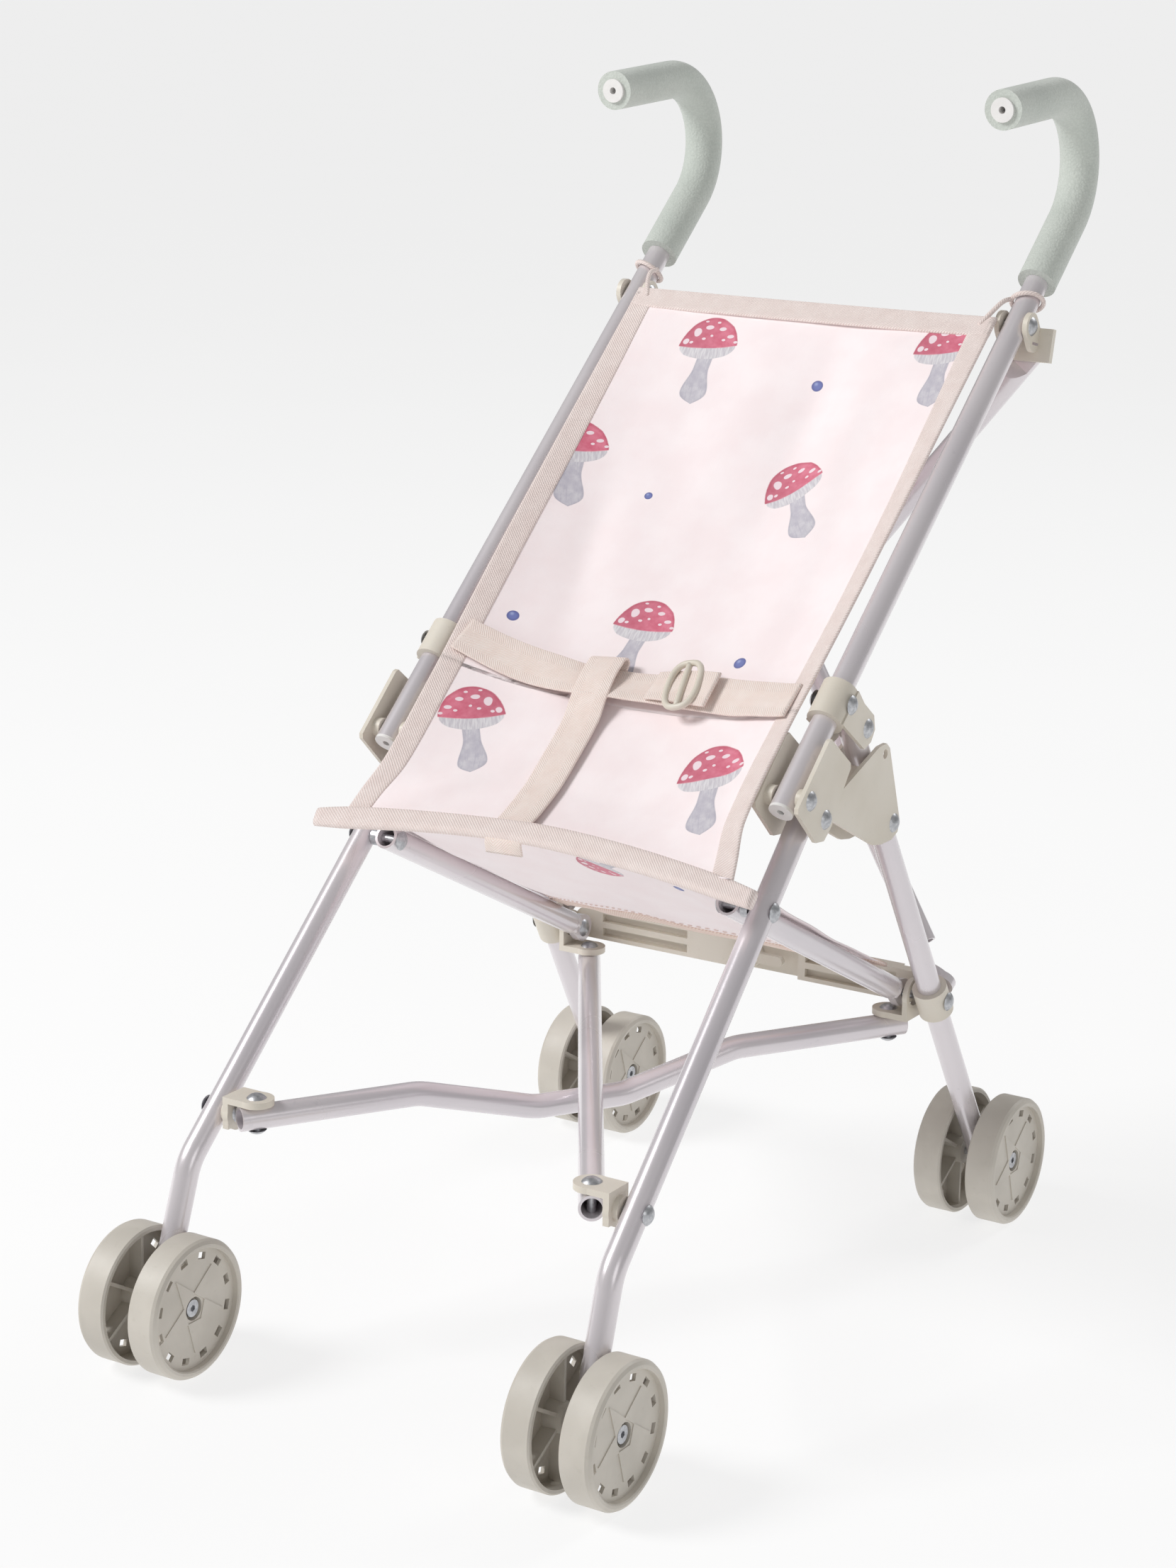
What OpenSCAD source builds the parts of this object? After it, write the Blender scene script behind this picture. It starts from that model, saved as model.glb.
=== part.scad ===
// Doll stroller with an umbrella frame.
// X runs across the stroller, the front faces -Y and Z is up from the floor.
// The origin is on the floor, midway between the axles. Sizes are in millimetres.

/* [Wheels] */
// Distance between the two axles
wheelbase = 372; // [300:1:450]
// Distance between the centres of the left and right wheel pairs
track = 224; // [200:1:260]
// Diameter of each wheel
wheel_d = 64; // [54:1:76]
// Width of each wheel
wheel_w = 15; // [12:0.5:18]
// Gap between the two wheels of a pair
twin_gap = 14; // [13:0.5:18]
// Diameter of the axle pins
axle_d = 4; // [3:0.1:5]

/* [Frame tubes] */
// Outer diameter of all frame tubes
tube_d = 11.5; // [9:0.1:12]
// Wall of the frame tubes
tube_wall = 1.2; // [0.8:0.1:2]
// Distance between the two handle tubes
handle_span = 211; // [190:1:230]
// Lean of the handle tubes from the floor, in degrees
lean = 41.2; // [35:0.1:50]
// Height of the rivet at the foot of each handle tube
foot_z = 260.7; // [240:0.1:290]
// Place of that rivet, front to back
foot_y = -16.4; // [-30:0.1:0]
// Length of the straight run of each handle tube above that rivet
handle_run = 351; // [300:1:380]
// Bend radius of the handle crook
crook_r = 34; // [28:1:42]
// Length of the handle after the crook
crook_end = 53; // [35:1:70]
// Turn of the handle crook, in degrees
crook_turn = 142.5; // [120:0.5:160]
// Length of the front leg below its bend
ankle_len = 62.8; // [50:0.1:80]
// Slope of the front leg below its bend, in degrees
ankle_slope = 71.4; // [60:0.1:85]
// Bend radius of the front legs
ankle_r = 26; // [18:1:40]
// Distance between the two seat rails
rail_span = 183; // [165:1:185]

/* [Grips] */
// Outer diameter of the foam grips
grip_d = 19; // [16:0.1:24]
// Where the grip starts, along the handle tube from its foot rivet
grip_start = 309.5; // [260:0.5:330]

/* [Joints] */
// Diameter of the frame rivets
rivet_d = 4; // [3:0.1:5]
// Diameter of the domed rivet heads
head_d = 9; // [7:0.1:11]
// Height of the domed rivet heads
head_h = 2.2; // [1.5:0.1:3]
// Radial running clearance of a rivet in its hole
run_gap = 0.05; // [0.02:0.01:0.1]
// Clearance between faces that pass each other
face_gap = 0.3; // [0.2:0.05:0.5]
// Thickness of the plastic side plates
plate_t = 2; // [1.5:0.1:2.6]
// Height of the rear rail rivet and the folding crossbar
rail_z = 129; // [120:1:145]
// Height of the lower cross tubes at their ends
cross_z = 111; // [104:1:116]
// Depth of the dip where one cross tube passes under the other
cross_dip = 15; // [14:0.5:20]
// Place of the upper clevis along the handle tube
clevis_t = 282; // [250:1:295]

/* [Soft seat] */
// Width of the back panel
back_w = 181; // [150:1:182]
// Width of the seat panel, between the rails
seat_w = 166; // [150:1:166]
// Width of the rolled front edge of the seat
roll_w = 228; // [200:1:236]
// Thickness of the fabric pieces
cloth_t = 3; // [2:0.1:5]
// Width of the belt webbing
belt_w = 19; // [14:1:25]

/* [Hidden] */
$fn = 48;
tube_r = tube_d / 2;
rivet_r = rivet_d / 2;
head_r = head_d / 2;
wheel_r = wheel_d / 2;
hx = handle_span / 2;
wx = track / 2;
rail_x = rail_span / 2;
along = [cos(lean), sin(lean)];
below = [sin(lean), -cos(lean)];

function unit(v) = v / norm(v);
// Point in the side view, t along the handle tube from its foot rivet and v behind it
function on_handle(t, v) = [foot_y, foot_z] + t * along + v * below;
function pt(x, q) = [x, q[0], q[1]];
function mix(a, b, k) = a + (b - a) * k;
// Share of the way from a to b at which height z is reached
function share_z(a, b, z) = (z - a[2]) / (b[2] - a[2]);

leg_hinge = on_handle(3.2, 18.2);
rear_hinge = on_handle(56.1, 21.2);
clamp_t = 53;
handle_low = -7;
front_hub = [wx, -wheelbase / 2, wheel_r];
rear_hub = [wx, wheelbase / 2, wheel_r];
leg_top = pt(hx, leg_hinge);
ankle = [wx - 1, front_hub[1] + ankle_len * cos(ankle_slope),
    wheel_r + ankle_len * sin(ankle_slope)];
rear_top = pt(hx, rear_hinge);
front_dir = unit(ankle - leg_top);
rear_dir = unit(rear_hub - rear_top);
rail_front = leg_top + 50 * front_dir;
front_rivet = mix(leg_top, ankle, share_z(leg_top, ankle, cross_z));
rear_rivet = mix(rear_top, rear_hub, share_z(rear_top, rear_hub, rail_z));
lock_rivet = rear_top + 58.5 * rear_dir;
// Layers beside each handle tube: the lock link runs inside the hinge plates and leaves room
// for the outward lean of the legs
link_in = tube_r + 1.5;
plate_in = link_in + plate_t + face_gap;
plate_out = plate_in + plate_t;
// Corner brackets stand inside the legs, between the leg and the rail
collar_wall = 2.7;
// The rear bracket rides on the cross tube and has some sideways play on the leg
bracket_out = rear_rivet[0] - tube_r - collar_wall - 1.4;
bracket_in = bracket_out - 2.6;
front_out = front_rivet[0] - tube_r - collar_wall - face_gap;
front_in = front_out - 3;
tongue_t = 3;
tongue_z = cross_z + tube_r + face_gap;
front_pin_x = 88.3;
rear_pin_x = 86;
// Play of the rear bracket around its rivet, taken up as the frame folds
play = 3.3;
rear_out_dir = [0, -rear_dir[2], rear_dir[1]] / norm([rear_dir[1], rear_dir[2]]);
tab_t = 4;
tab_off = tube_r + collar_wall + 0.9 + tab_t / 2;
sway_low = rear_rivet + tab_off * rear_out_dir;
// The upper clevises face straight along the pins of the rear cross tubes
clevis_back = [cos(13), -sin(13)];
clevis_up = [sin(13), cos(13)];
clevis_reach = 14.5;
clevis_drop = 7.5;
sway_top = pt(hx + 6.5, on_handle(clevis_t, 0) + clevis_reach * clevis_back
    - clevis_drop * clevis_up);
bar_y = rear_rivet[1] + 14.4;
bar_h = 16;
bar_t = 9;
bar_x = rear_rivet[0] - 16;
bar_lap = 30;

// ---------- shared shapes ----------

// A local frame with its origin at o and its axes along x, y and z
module placed(o, x, y, z) {
    multmatrix([[x[0], y[0], z[0], o[0]], [x[1], y[1], z[1], o[1]], [x[2], y[2], z[2], o[2]]])
        children();
}

// A round bar from a to b
module rod(a, b, r) {
    d = unit(b - a);
    translate(a) rotate([0, acos(d[2]), atan2(d[1], d[0])]) cylinder(h = norm(b - a), r = r);
}

// How much of a straight run the bend at point i takes
function bend_trim(p, i, rb) = i == 0 || i == len(p) - 1 ? 0 :
    rb * tan(acos(unit(p[i] - p[i - 1]) * unit(p[i + 1] - p[i])) / 2);

// A round bar that follows points, with a round bend at each inner one
module pipe(p, rb, r) {
    for (i = [0 : len(p) - 2]) {
        d = unit(p[i + 1] - p[i]);
        rod(p[i] + d * bend_trim(p, i, rb), p[i + 1] - d * bend_trim(p, i + 1, rb), r);
    }
    for (i = [1 : 1 : len(p) - 2]) {
        d = unit(p[i] - p[i - 1]);
        e = unit(p[i + 1] - p[i]);
        n = unit(cross(d, e));
        m = cross(n, d);
        start = p[i] - d * bend_trim(p, i, rb);
        // The bend runs a little way into the straight runs and is a hair thinner
        placed(start + m * rb, -m, d, n) rotate([0, 0, -0.6])
            rotate_extrude(angle = acos(d * e) + 1.2) translate([rb, 0]) circle(r - 0.02);
    }
}

// A pin of radius r along X, centred on c
module pin_x(c, r, w) {
    translate([c[0] - w / 2, c[1], c[2]]) rotate([0, 90, 0]) cylinder(h = w, r = r);
}

// A domed head that stands on the plane z = 0
module dome(r, h) {
    ball = (r * r + h * h) / (2 * h);
    intersection() {
        translate([0, 0, h - ball]) sphere(ball);
        cylinder(h = h + 1, r = r);
    }
}

// A rivet from a to b along the unit direction n, with a domed head at each end
module rivet(a, b, n) {
    rod(a, b, rivet_r);
    placed(b, unit(cross([n[1], n[2], n[0]], n)), cross(n, unit(cross([n[1], n[2], n[0]], n))), n)
        dome(head_r, head_h);
    placed(a, unit(cross(n, [n[1], n[2], n[0]])), cross(n, unit(cross([n[1], n[2], n[0]], n))), -n)
        dome(head_r, head_h);
}

// A rivet along X between xa and xb at the side-view point q
module rivet_x(xa, xb, q) {
    rivet([xa, q[0], q[1]], [xb, q[0], q[1]], [1, 0, 0]);
}

// A flat plate in the side view, from xa to xb, with rounded corners
module side_plate(xa, xb, outline) {
    translate([xa, 0, 0]) rotate([90, 0, 90]) linear_extrude(xb - xa) polygon(outline);
}

module round_link(xa, xb, a, b, ra, rb) {
    d = b - a;
    n = norm(d);
    u = d / n;
    s = asin((ra - rb) / n);
    side = [for (k = [-1, 1]) let (g = atan2(u[1], u[0]) + k * (90 - s)) [cos(g), sin(g)]];
    translate([xa, 0, 0]) rotate([90, 0, 90]) {
        translate(a) cylinder(h = xb - xa, r = ra);
        translate(b) cylinder(h = xb - xa, r = rb);
        linear_extrude(xb - xa)
            polygon([a + ra * side[0], b + rb * side[0], b + rb * side[1], a + ra * side[1]]);
    }
}

function yz(p) = [p[1], p[2]];

// ---------- handle side ----------

handle_corner = handle_run + crook_r * tan(crook_turn / 2);
handle_foot = pt(hx, on_handle(handle_low, 0));
handle_tip = pt(hx, on_handle(handle_corner, 0)
    + (crook_r * tan(crook_turn / 2) + crook_end) * [cos(lean + crook_turn), sin(lean + crook_turn)]);
handle_path = [handle_foot, pt(hx, on_handle(handle_corner, 0)), handle_tip];

module handle() {
    difference() {
        pipe(handle_path, crook_r, tube_r);
        pipe([handle_foot - pt(0, along), handle_path[1], handle_tip
            + pt(0, [cos(lean + crook_turn), sin(lean + crook_turn)])], crook_r, tube_r - tube_wall);
        pin_x(pt(hx, on_handle(0, 0)), rivet_r, 20);
        pin_x(pt(hx, on_handle(clamp_t, 0)), rivet_r, 20);
        pin_x(pt(hx, on_handle(clevis_t, 0)), rivet_r + run_gap, 20);
    }
}

module grip() {
    start = pt(hx, on_handle(grip_start, 0));
    difference() {
        pipe([start, handle_path[1], handle_tip], crook_r, grip_d / 2);
        pipe([start - pt(0, along), handle_path[1], handle_tip
            + pt(0, [cos(lean + crook_turn), sin(lean + crook_turn)])], crook_r, tube_r);
    }
}

// A plastic plug pressed into a tube end at p to a depth, facing along d
module plug(p, d, depth) {
    difference() {
        union() {
            rod(p - depth * d, p, tube_r - tube_wall);
            rod(p, p + 1.4 * d, tube_r);
        }
        rod(p - (depth + 1) * d, p + 2 * d, 1.7);
    }
}

module plugs() {
    plug(handle_tip, pt(0, [cos(lean + crook_turn), sin(lean + crook_turn)]), 9);
    // The foot plug ends short of the foot rivet
    plug(handle_foot, -pt(0, along), -handle_low - rivet_r - 0.5);
}

module clamp() {
    difference() {
        union() {
            rod(pt(hx, on_handle(clamp_t - 11, 0)), pt(hx, on_handle(clamp_t + 8, 0)), tube_r + 2.7);
            for (s = [-1, 1])
                side_plate(hx + min(s * link_in, s * (link_in + plate_t)),
                    hx + max(s * link_in, s * (link_in + plate_t)),
                    [on_handle(clamp_t - 11, 0), on_handle(clamp_t + 8, 0), on_handle(clamp_t + 8, 9),
                     on_handle(clamp_t + 10.5, 21), on_handle(clamp_t + 7, 27),
                     on_handle(clamp_t + 1, 28.5), on_handle(clamp_t - 5, 26)]);
        }
        rod(pt(hx, on_handle(clamp_t - 12, 0)), pt(hx, on_handle(clamp_t + 9, 0)), tube_r);
        pin_x(pt(hx, on_handle(clamp_t, 0)), rivet_r, 40);
        pin_x(rear_top, rivet_r + run_gap, 40);
    }
}

module hinge_plates() {
    for (s = [-1, 1])
        difference() {
            side_plate(hx + min(s * plate_in, s * plate_out), hx + max(s * plate_in, s * plate_out),
                [on_handle(-11, -5), on_handle(-9.5, -7), on_handle(27, -8), on_handle(29, -7),
                 on_handle(33.5, 16.5), on_handle(32, 18.5), on_handle(10, 23), on_handle(5, 25),
                 on_handle(-4, 24.5), on_handle(-9, 19)]);
            pin_x(pt(hx, on_handle(0, 0)), rivet_r, 40);
            pin_x(leg_top, rivet_r + run_gap, 40);
        }
    // Spacers that keep the plates on the tube
    for (s = [-1, 1])
        difference() {
            translate([s * (tube_r + (plate_in - tube_r) / 2), 0, 0])
                pin_x(pt(hx, on_handle(0, 0)), 4.6, plate_in - tube_r);
            pin_x(pt(hx, on_handle(0, 0)), rivet_r, 40);
        }
}

clevis_cheek = tube_r + face_gap + 2.4;

module clevis() {
    back = clevis_reach - tab_t / 2 - face_gap;
    at = on_handle(clevis_t, 0);
    difference() {
        union() {
            for (s = [-1, 1])
                round_link(hx + min(s * (clevis_cheek - 2.4), s * clevis_cheek),
                    hx + max(s * (clevis_cheek - 2.4), s * clevis_cheek),
                    at, at + (back - 6.8) * clevis_back - 5 * clevis_up, 6.6, 6.6);
            placed(pt(hx, at), [1, 0, 0], pt(0, clevis_up), pt(0, -clevis_back))
                translate([-clevis_cheek, -clevis_drop - 8, -back])
                    cube([clevis_cheek * 2 + 7, 16, 3.4]);
        }
        pin_x(pt(hx, at), rivet_r + run_gap, 40);
        rod(sway_top - pt(0, clevis_back) * 12, sway_top + pt(0, clevis_back) * 12,
            rivet_r + run_gap);
    }
}

module handle_rivets() {
    rivet_x(hx - plate_out, hx + plate_out, on_handle(0, 0));
    rivet_x(hx - plate_out, hx + plate_out, leg_hinge);
    rivet_x(hx - link_in - plate_t, hx + link_in + plate_t, on_handle(clamp_t, 0));
    rivet_x(hx - link_in - plate_t, hx + link_in + plate_t, rear_hinge);
    rivet_x(hx - clevis_cheek, hx + clevis_cheek, on_handle(clevis_t, 0));
}

// ---------- legs ----------

module rear_leg() {
    low = rear_hub + 7 * rear_dir;
    difference() {
        union() {
            rod(rear_top, low, tube_r);
            translate(rear_top) sphere(tube_r - 0.03);
        }
        rod(rear_top + 10 * rear_dir, low + rear_dir, tube_r - tube_wall);
        pin_x(rear_top, rivet_r + run_gap, 40);
        pin_x(lock_rivet, rivet_r, 40);
        pin_x(rear_rivet, rivet_r, 40);
        pin_x(rear_hub, axle_d / 2, 40);
    }
}

module front_leg() {
    end = front_hub + 7 * unit(front_hub - ankle);
    difference() {
        union() {
            pipe([leg_top, ankle, end], ankle_r, tube_r);
            translate(leg_top) sphere(tube_r - 0.03);
        }
        pipe([leg_top + 8 * front_dir, ankle, end + unit(front_hub - ankle)], ankle_r,
            tube_r - tube_wall);
        pin_x(leg_top, rivet_r + run_gap, 40);
        pin_x(rail_front, rivet_r, 40);
        pin_x(front_rivet, rivet_r, 40);
        pin_x(front_hub, axle_d / 2, 40);
    }
}

// Triangular lock link, a channel that sits over the rear leg
module lock_link() {
    tip = yz(lock_rivet) + [-66, 19];
    top = yz(lock_rivet) + [-11.5, 35];
    for (s = [-1, 1])
        difference() {
            union() {
                side_plate(hx + min(s * link_in, s * (link_in + plate_t)),
                    hx + max(s * link_in, s * (link_in + plate_t)),
                    [tip + [-1.5, -1], tip + [-0.5, 2.2], tip + [3, 4], top + [-6, 4.5], top + [1, 4.8],
                     top + [4.4, 2], yz(lock_rivet) + [5.5, 0.5], yz(lock_rivet) + [4, -5],
                     yz(lock_rivet) + [-2, -7.5], yz(lock_rivet) + [-12, -7.5],
                     yz(lock_rivet) + [-20, -6], tip + [18, -11]]);
            }
            pin_x(lock_rivet, rivet_r + run_gap, 40);
            pin_x(pt(hx, top), 2.2, 40);
        }
    // Web along the front edge, ahead of the rear leg
    placed(pt(hx - link_in, tip + [18, 8.5]), [1, 0, 0], pt(0, unit(top - tip)),
        pt(0, [-unit(top - tip)[1], unit(top - tip)[0]]))
        translate([0, 0, -2.4]) cube([2 * link_in, 19, 2]);
}

module seat_rail() {
    a = [rail_x, rail_front[1], rail_front[2]];
    b = [rail_x, rear_rivet[1], rear_rivet[2]];
    d = unit(b - a);
    difference() {
        union() {
            rod(a - 5 * d, b - 12 * d, tube_r);
            hull() {
                translate([-3, 0, 0]) rod(b - 13 * d, b - 11 * d, tube_r - 2.8);
                translate([3, 0, 0]) rod(b - 13 * d, b - 11 * d, tube_r - 2.8);
                pin_x(b, tube_r + 1.2, 4);
            }
        }
        rod(a - 6 * d, b - 20 * d, tube_r - tube_wall);
        pin_x(a, rivet_r + run_gap, 40);
        pin_x(b, rivet_r, 40);
        // Flat seats around the rivet
        for (s = [-1, 1]) translate([s * 6, 0, 0]) pin_x(b, 9.5, 8);
    }
}

// Rivet of the flattened rail end, which rides beside the rear leg's own rivet
module rail_rivet() {
    at = [rail_x, rear_rivet[1], rear_rivet[2]];
    pin_x(at, rivet_r, 4);
    translate(at - [2, 0, 0]) rotate([0, -90, 0]) dome(head_r, head_h);
}

// Washer pieces between the leg and the rail, and the rivets of the front leg
module front_rivets() {
    rivet_x(rail_x - tube_r, rail_front[0] + tube_r, yz(rail_front));
    rivet_x(front_in, front_rivet[0] + tube_r, yz(front_rivet));
    difference() {
        pin_x([(rail_x + rail_front[0]) / 2, rail_front[1], rail_front[2]], 4.2,
            rail_front[0] - rail_x - 2 * tube_r - 2 * run_gap);
        pin_x(rail_front, rivet_r, 40);
    }
}

module rear_rivets() {
    rivet_x(hx - link_in - plate_t, hx + link_in + plate_t, yz(lock_rivet));
    low = rail_x + 2 + face_gap;
    high = rear_rivet[0] + tube_r + collar_wall;
    pin_x([(low + high) / 2, rear_rivet[1], rear_rivet[2]], rivet_r, high - low);
    translate([high, rear_rivet[1], rear_rivet[2]]) rotate([0, 90, 0]) dome(head_r, head_h);
}

// An angle bracket: an upright on the pivot and a tongue for the upright cross rivet
module corner(pivot, x_in, x_out, pin_x0, hole_r, pin_hole_r, boss) {
    tongue = [pin_x0, pivot[1]];
    low = min(pivot[2] - 6, tongue_z);
    difference() {
        union() {
            pin_x([(x_in + x_out) / 2, pivot[1], pivot[2]], 8, x_out - x_in);
            translate([x_in, pivot[1] - 7.7, low])
                cube([x_out - x_in, 15.4, max(pivot[2], tongue_z + tongue_t) - low]);
            translate([tongue[0], tongue[1] - 7.7, tongue_z])
                cube([x_out - tongue[0], 15.4, tongue_t]);
            translate([tongue[0], tongue[1], tongue_z]) cylinder(h = tongue_t, r = 8);
            // Boss that keeps the bracket off the leg
            if (boss > 0) pin_x([x_out + boss / 2 - 0.5, pivot[1], pivot[2]], 5.6, boss + 1);
        }
        pin_x(pivot, hole_r, 60);
        translate([tongue[0], tongue[1], tongue_z - 1]) cylinder(h = tongue_t + 2, r = pin_hole_r);
    }
}

module front_corner() {
    corner(front_rivet, front_in, front_out, front_pin_x, rivet_r + run_gap, rivet_r + run_gap,
        front_rivet[0] - tube_r - face_gap - front_out);
}

module rear_corner() {
    corner(rear_rivet, bracket_in, bracket_out, rear_pin_x, rivet_r + play, rivet_r + run_gap, 0);
}

// ---------- cross tubes ----------

// Lower cross tube from the front end of side f to the rear end of the other side
module cross_tube(f, dip) {
    a = [f * front_pin_x, front_rivet[1], cross_z];
    b = [-f * rear_pin_x, rear_rivet[1], cross_z];
    d = unit(b - a);
    n = norm(b - a);
    down = [0, 0, -dip];
    path = dip == 0 ? [a - 8 * d, b + 8 * d] :
        [a - 8 * d, a + 0.24 * n * d, a + 0.42 * n * d + down, a + 0.56 * n * d + down,
         a + 0.74 * n * d, b + 8 * d];
    long = concat([path[0] - d], [for (i = [1 : 1 : len(path) - 2]) path[i]],
        [path[len(path) - 1] + d]);
    difference() {
        pipe(path, 30, tube_r);
        pipe(long, 30, tube_r - tube_wall);
        for (p = [a, b]) translate(p - [0, 0, 10]) cylinder(h = 20, r = rivet_r);
    }
}

module cross_rivets(f) {
    a = [f * front_pin_x, front_rivet[1], 0];
    b = [-f * rear_pin_x, rear_rivet[1], 0];
    for (p = [a, b])
        rivet(p + [0, 0, cross_z - tube_r], p + [0, 0, tongue_z + tongue_t], [0, 0, 1]);
}

// Tube behind the back from the upper clevis of side f to the other rear leg
module sway_tube(f, dip) {
    a = [f * sway_top[0], sway_top[1], sway_top[2]];
    b = [-f * sway_low[0], sway_low[1], sway_low[2]];
    d = unit(b - a);
    n = norm(b - a);
    back = [0, abs(b[2] - a[2]), b[1] - a[1]] / norm([b[2] - a[2], b[1] - a[1]]);
    path = [a + 21 * d, a + 0.28 * n * d, a + 0.42 * n * d + dip * back,
        a + 0.58 * n * d + dip * back, a + 0.72 * n * d, b - 21 * d];
    straight = [path[0], path[5]];
    difference() {
        union() {
            pipe(dip == 0 ? straight : path, 30, tube_r);
            flat_end(a, -pt(0, clevis_back), d);
            flat_end(b, -rear_out_dir, -d);
        }
        pipe(dip == 0 ? [path[0] - 2 * d, path[5] + 2 * d] :
            concat([path[0] - 2 * d], [path[1], path[2], path[3], path[4]], [path[5] + 2 * d]),
            30, tube_r - tube_wall);
    }
    // The rivets that carry its two ends stay with the tube
    for (e = [[b, rear_out_dir], [a, pt(0, clevis_back)]])
        placed(e[0] + e[1] * (tab_t / 2 - 0.1), [1, 0, 0], cross(e[1], [1, 0, 0]), e[1])
            dome(head_r, head_h);
    rod(a - pt(0, clevis_back) * (tab_t / 2 + 4), a, rivet_r);
}

// Flattened tube end at p: a round tab square to n that grows into the tube along d
module flat_end(p, n, d) {
    side = unit(cross(n, d));
    rod(p - n * tab_t / 2, p + n * tab_t / 2, 6.2);
    intersection() {
        rod(p + d, p + d * 21.5, tube_r - 0.03);
        placed(p, unit(cross(side, n)), n, side) translate([0, 0, -10]) linear_extrude(20)
            polygon([[0, 0.05 - tab_t / 2], [13, 0.05 - tab_t / 2], [22, -tube_r - 1],
                [22, tube_r + 1], [13, tab_t / 2 - 0.05], [0, tab_t / 2 - 0.05]]);
    }
}

// ---------- folding crossbar ----------

// Collar around the rear leg with the ear that the crossbar turns on
module leg_collar() {
    ear = [bar_x, bar_y, rail_z];
    difference() {
        union() {
            rod(rear_rivet - 8 * rear_dir, rear_rivet + 8 * rear_dir, tube_r + collar_wall);
            translate([rear_rivet[0] - tube_r - 1.6, rear_rivet[1] + 6, rail_z - 8])
                cube([3, bar_y - rear_rivet[1] - 1, 9]);
            translate([bar_x, bar_y + 2.5, rail_z - 6.2])
                cube([rear_rivet[0] - tube_r + 1.4 - bar_x, 3, 7.2]);
            translate([bar_x, bar_y + 2.5, rail_z]) rotate([-90, 0, 0]) cylinder(h = 3, r = 6.5);
            translate([bar_x, bar_y - 1.5, rail_z]) rotate([-90, 0, 0]) cylinder(h = 5, r = rivet_r);
        }
        rod(rear_rivet - 9 * rear_dir, rear_rivet + 9 * rear_dir, tube_r);
        pin_x(rear_rivet, rivet_r, 60);
    }
}

// Half of the crossbar. The right half laps in front of the left half at the middle.
module crossbar(f) {
    lap_y = f > 0 ? bar_y + face_gap / 2 : bar_y - bar_t / 2;
    lap_t = bar_t / 2 - face_gap / 2;
    front = bar_y - bar_t / 2;
    difference() {
        union() {
            translate([f > 0 ? 0 : -bar_x, lap_y, rail_z - bar_h / 2])
                cube([f > 0 ? bar_x - 9 : bar_x, lap_t, bar_h]);
            translate([0, lap_y, rail_z]) rotate([-90, 0, 0]) cylinder(h = lap_t, r = bar_h / 2);
            translate([f > 0 ? bar_lap : -bar_x, front, rail_z - bar_h / 2])
                cube([bar_x - bar_lap, bar_t - 2.6, bar_h]);
            translate([f * bar_x, front, rail_z]) rotate([-90, 0, 0])
                cylinder(h = bar_t - 2.6, r = bar_h / 2);
            if (f < 0)
                translate([-27, bar_y - 2.6, rail_z + bar_h / 2 - 1]) rotate([18, 0, 0])
                    cube([15, 2.4, 13]);
        }
        // Long pockets above and below the middle rib, open to the front
        for (k = [-1, 1])
            translate([f > 0 ? bar_lap + 4 : -bar_x + 9, front - 1, rail_z + k * 3.7 - 2.1])
                cube([bar_x - bar_lap - 13, 4.2, 4.2]);
        translate([f * bar_x, bar_y - 1.6, rail_z]) rotate([-90, 0, 0])
            cylinder(h = 10, r = rivet_r + run_gap);
        if (f > 0) translate([0, bar_y - 6, rail_z]) rotate([-90, 0, 0]) cylinder(h = 12, r = 3.2);
        if (f < 0) translate([0, bar_y - 6, rail_z]) rotate([-90, 0, 0])
            cylinder(h = 12, r = rivet_r + run_gap);
    }
}

// Lever on the middle of the crossbar that keeps it from folding
module latch_lever() {
    front = bar_y - bar_t / 2 - face_gap;
    difference() {
        union() {
            translate([0, front - 3, rail_z]) rotate([-90, 0, 0]) cylinder(h = 3, r = 7);
            translate([0, front - 3, rail_z - 2.6]) cube([20, 3, 5.2]);
            translate([20, front - 3, rail_z]) rotate([-90, 0, 0]) cylinder(h = 3, r = 2.6);
        }
        translate([0, front - 4, rail_z]) rotate([-90, 0, 0]) cylinder(h = 6, r = rivet_r + run_gap);
    }
    translate([0, front - 3.6, rail_z]) rotate([-90, 0, 0])
        cylinder(h = 3.6 + face_gap + bar_t / 2 - face_gap, r = rivet_r);
    translate([0, front - 3, rail_z]) rotate([90, 0, 0]) dome(head_r - 1, head_h - 0.6);
}

// ---------- wheels ----------

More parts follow.
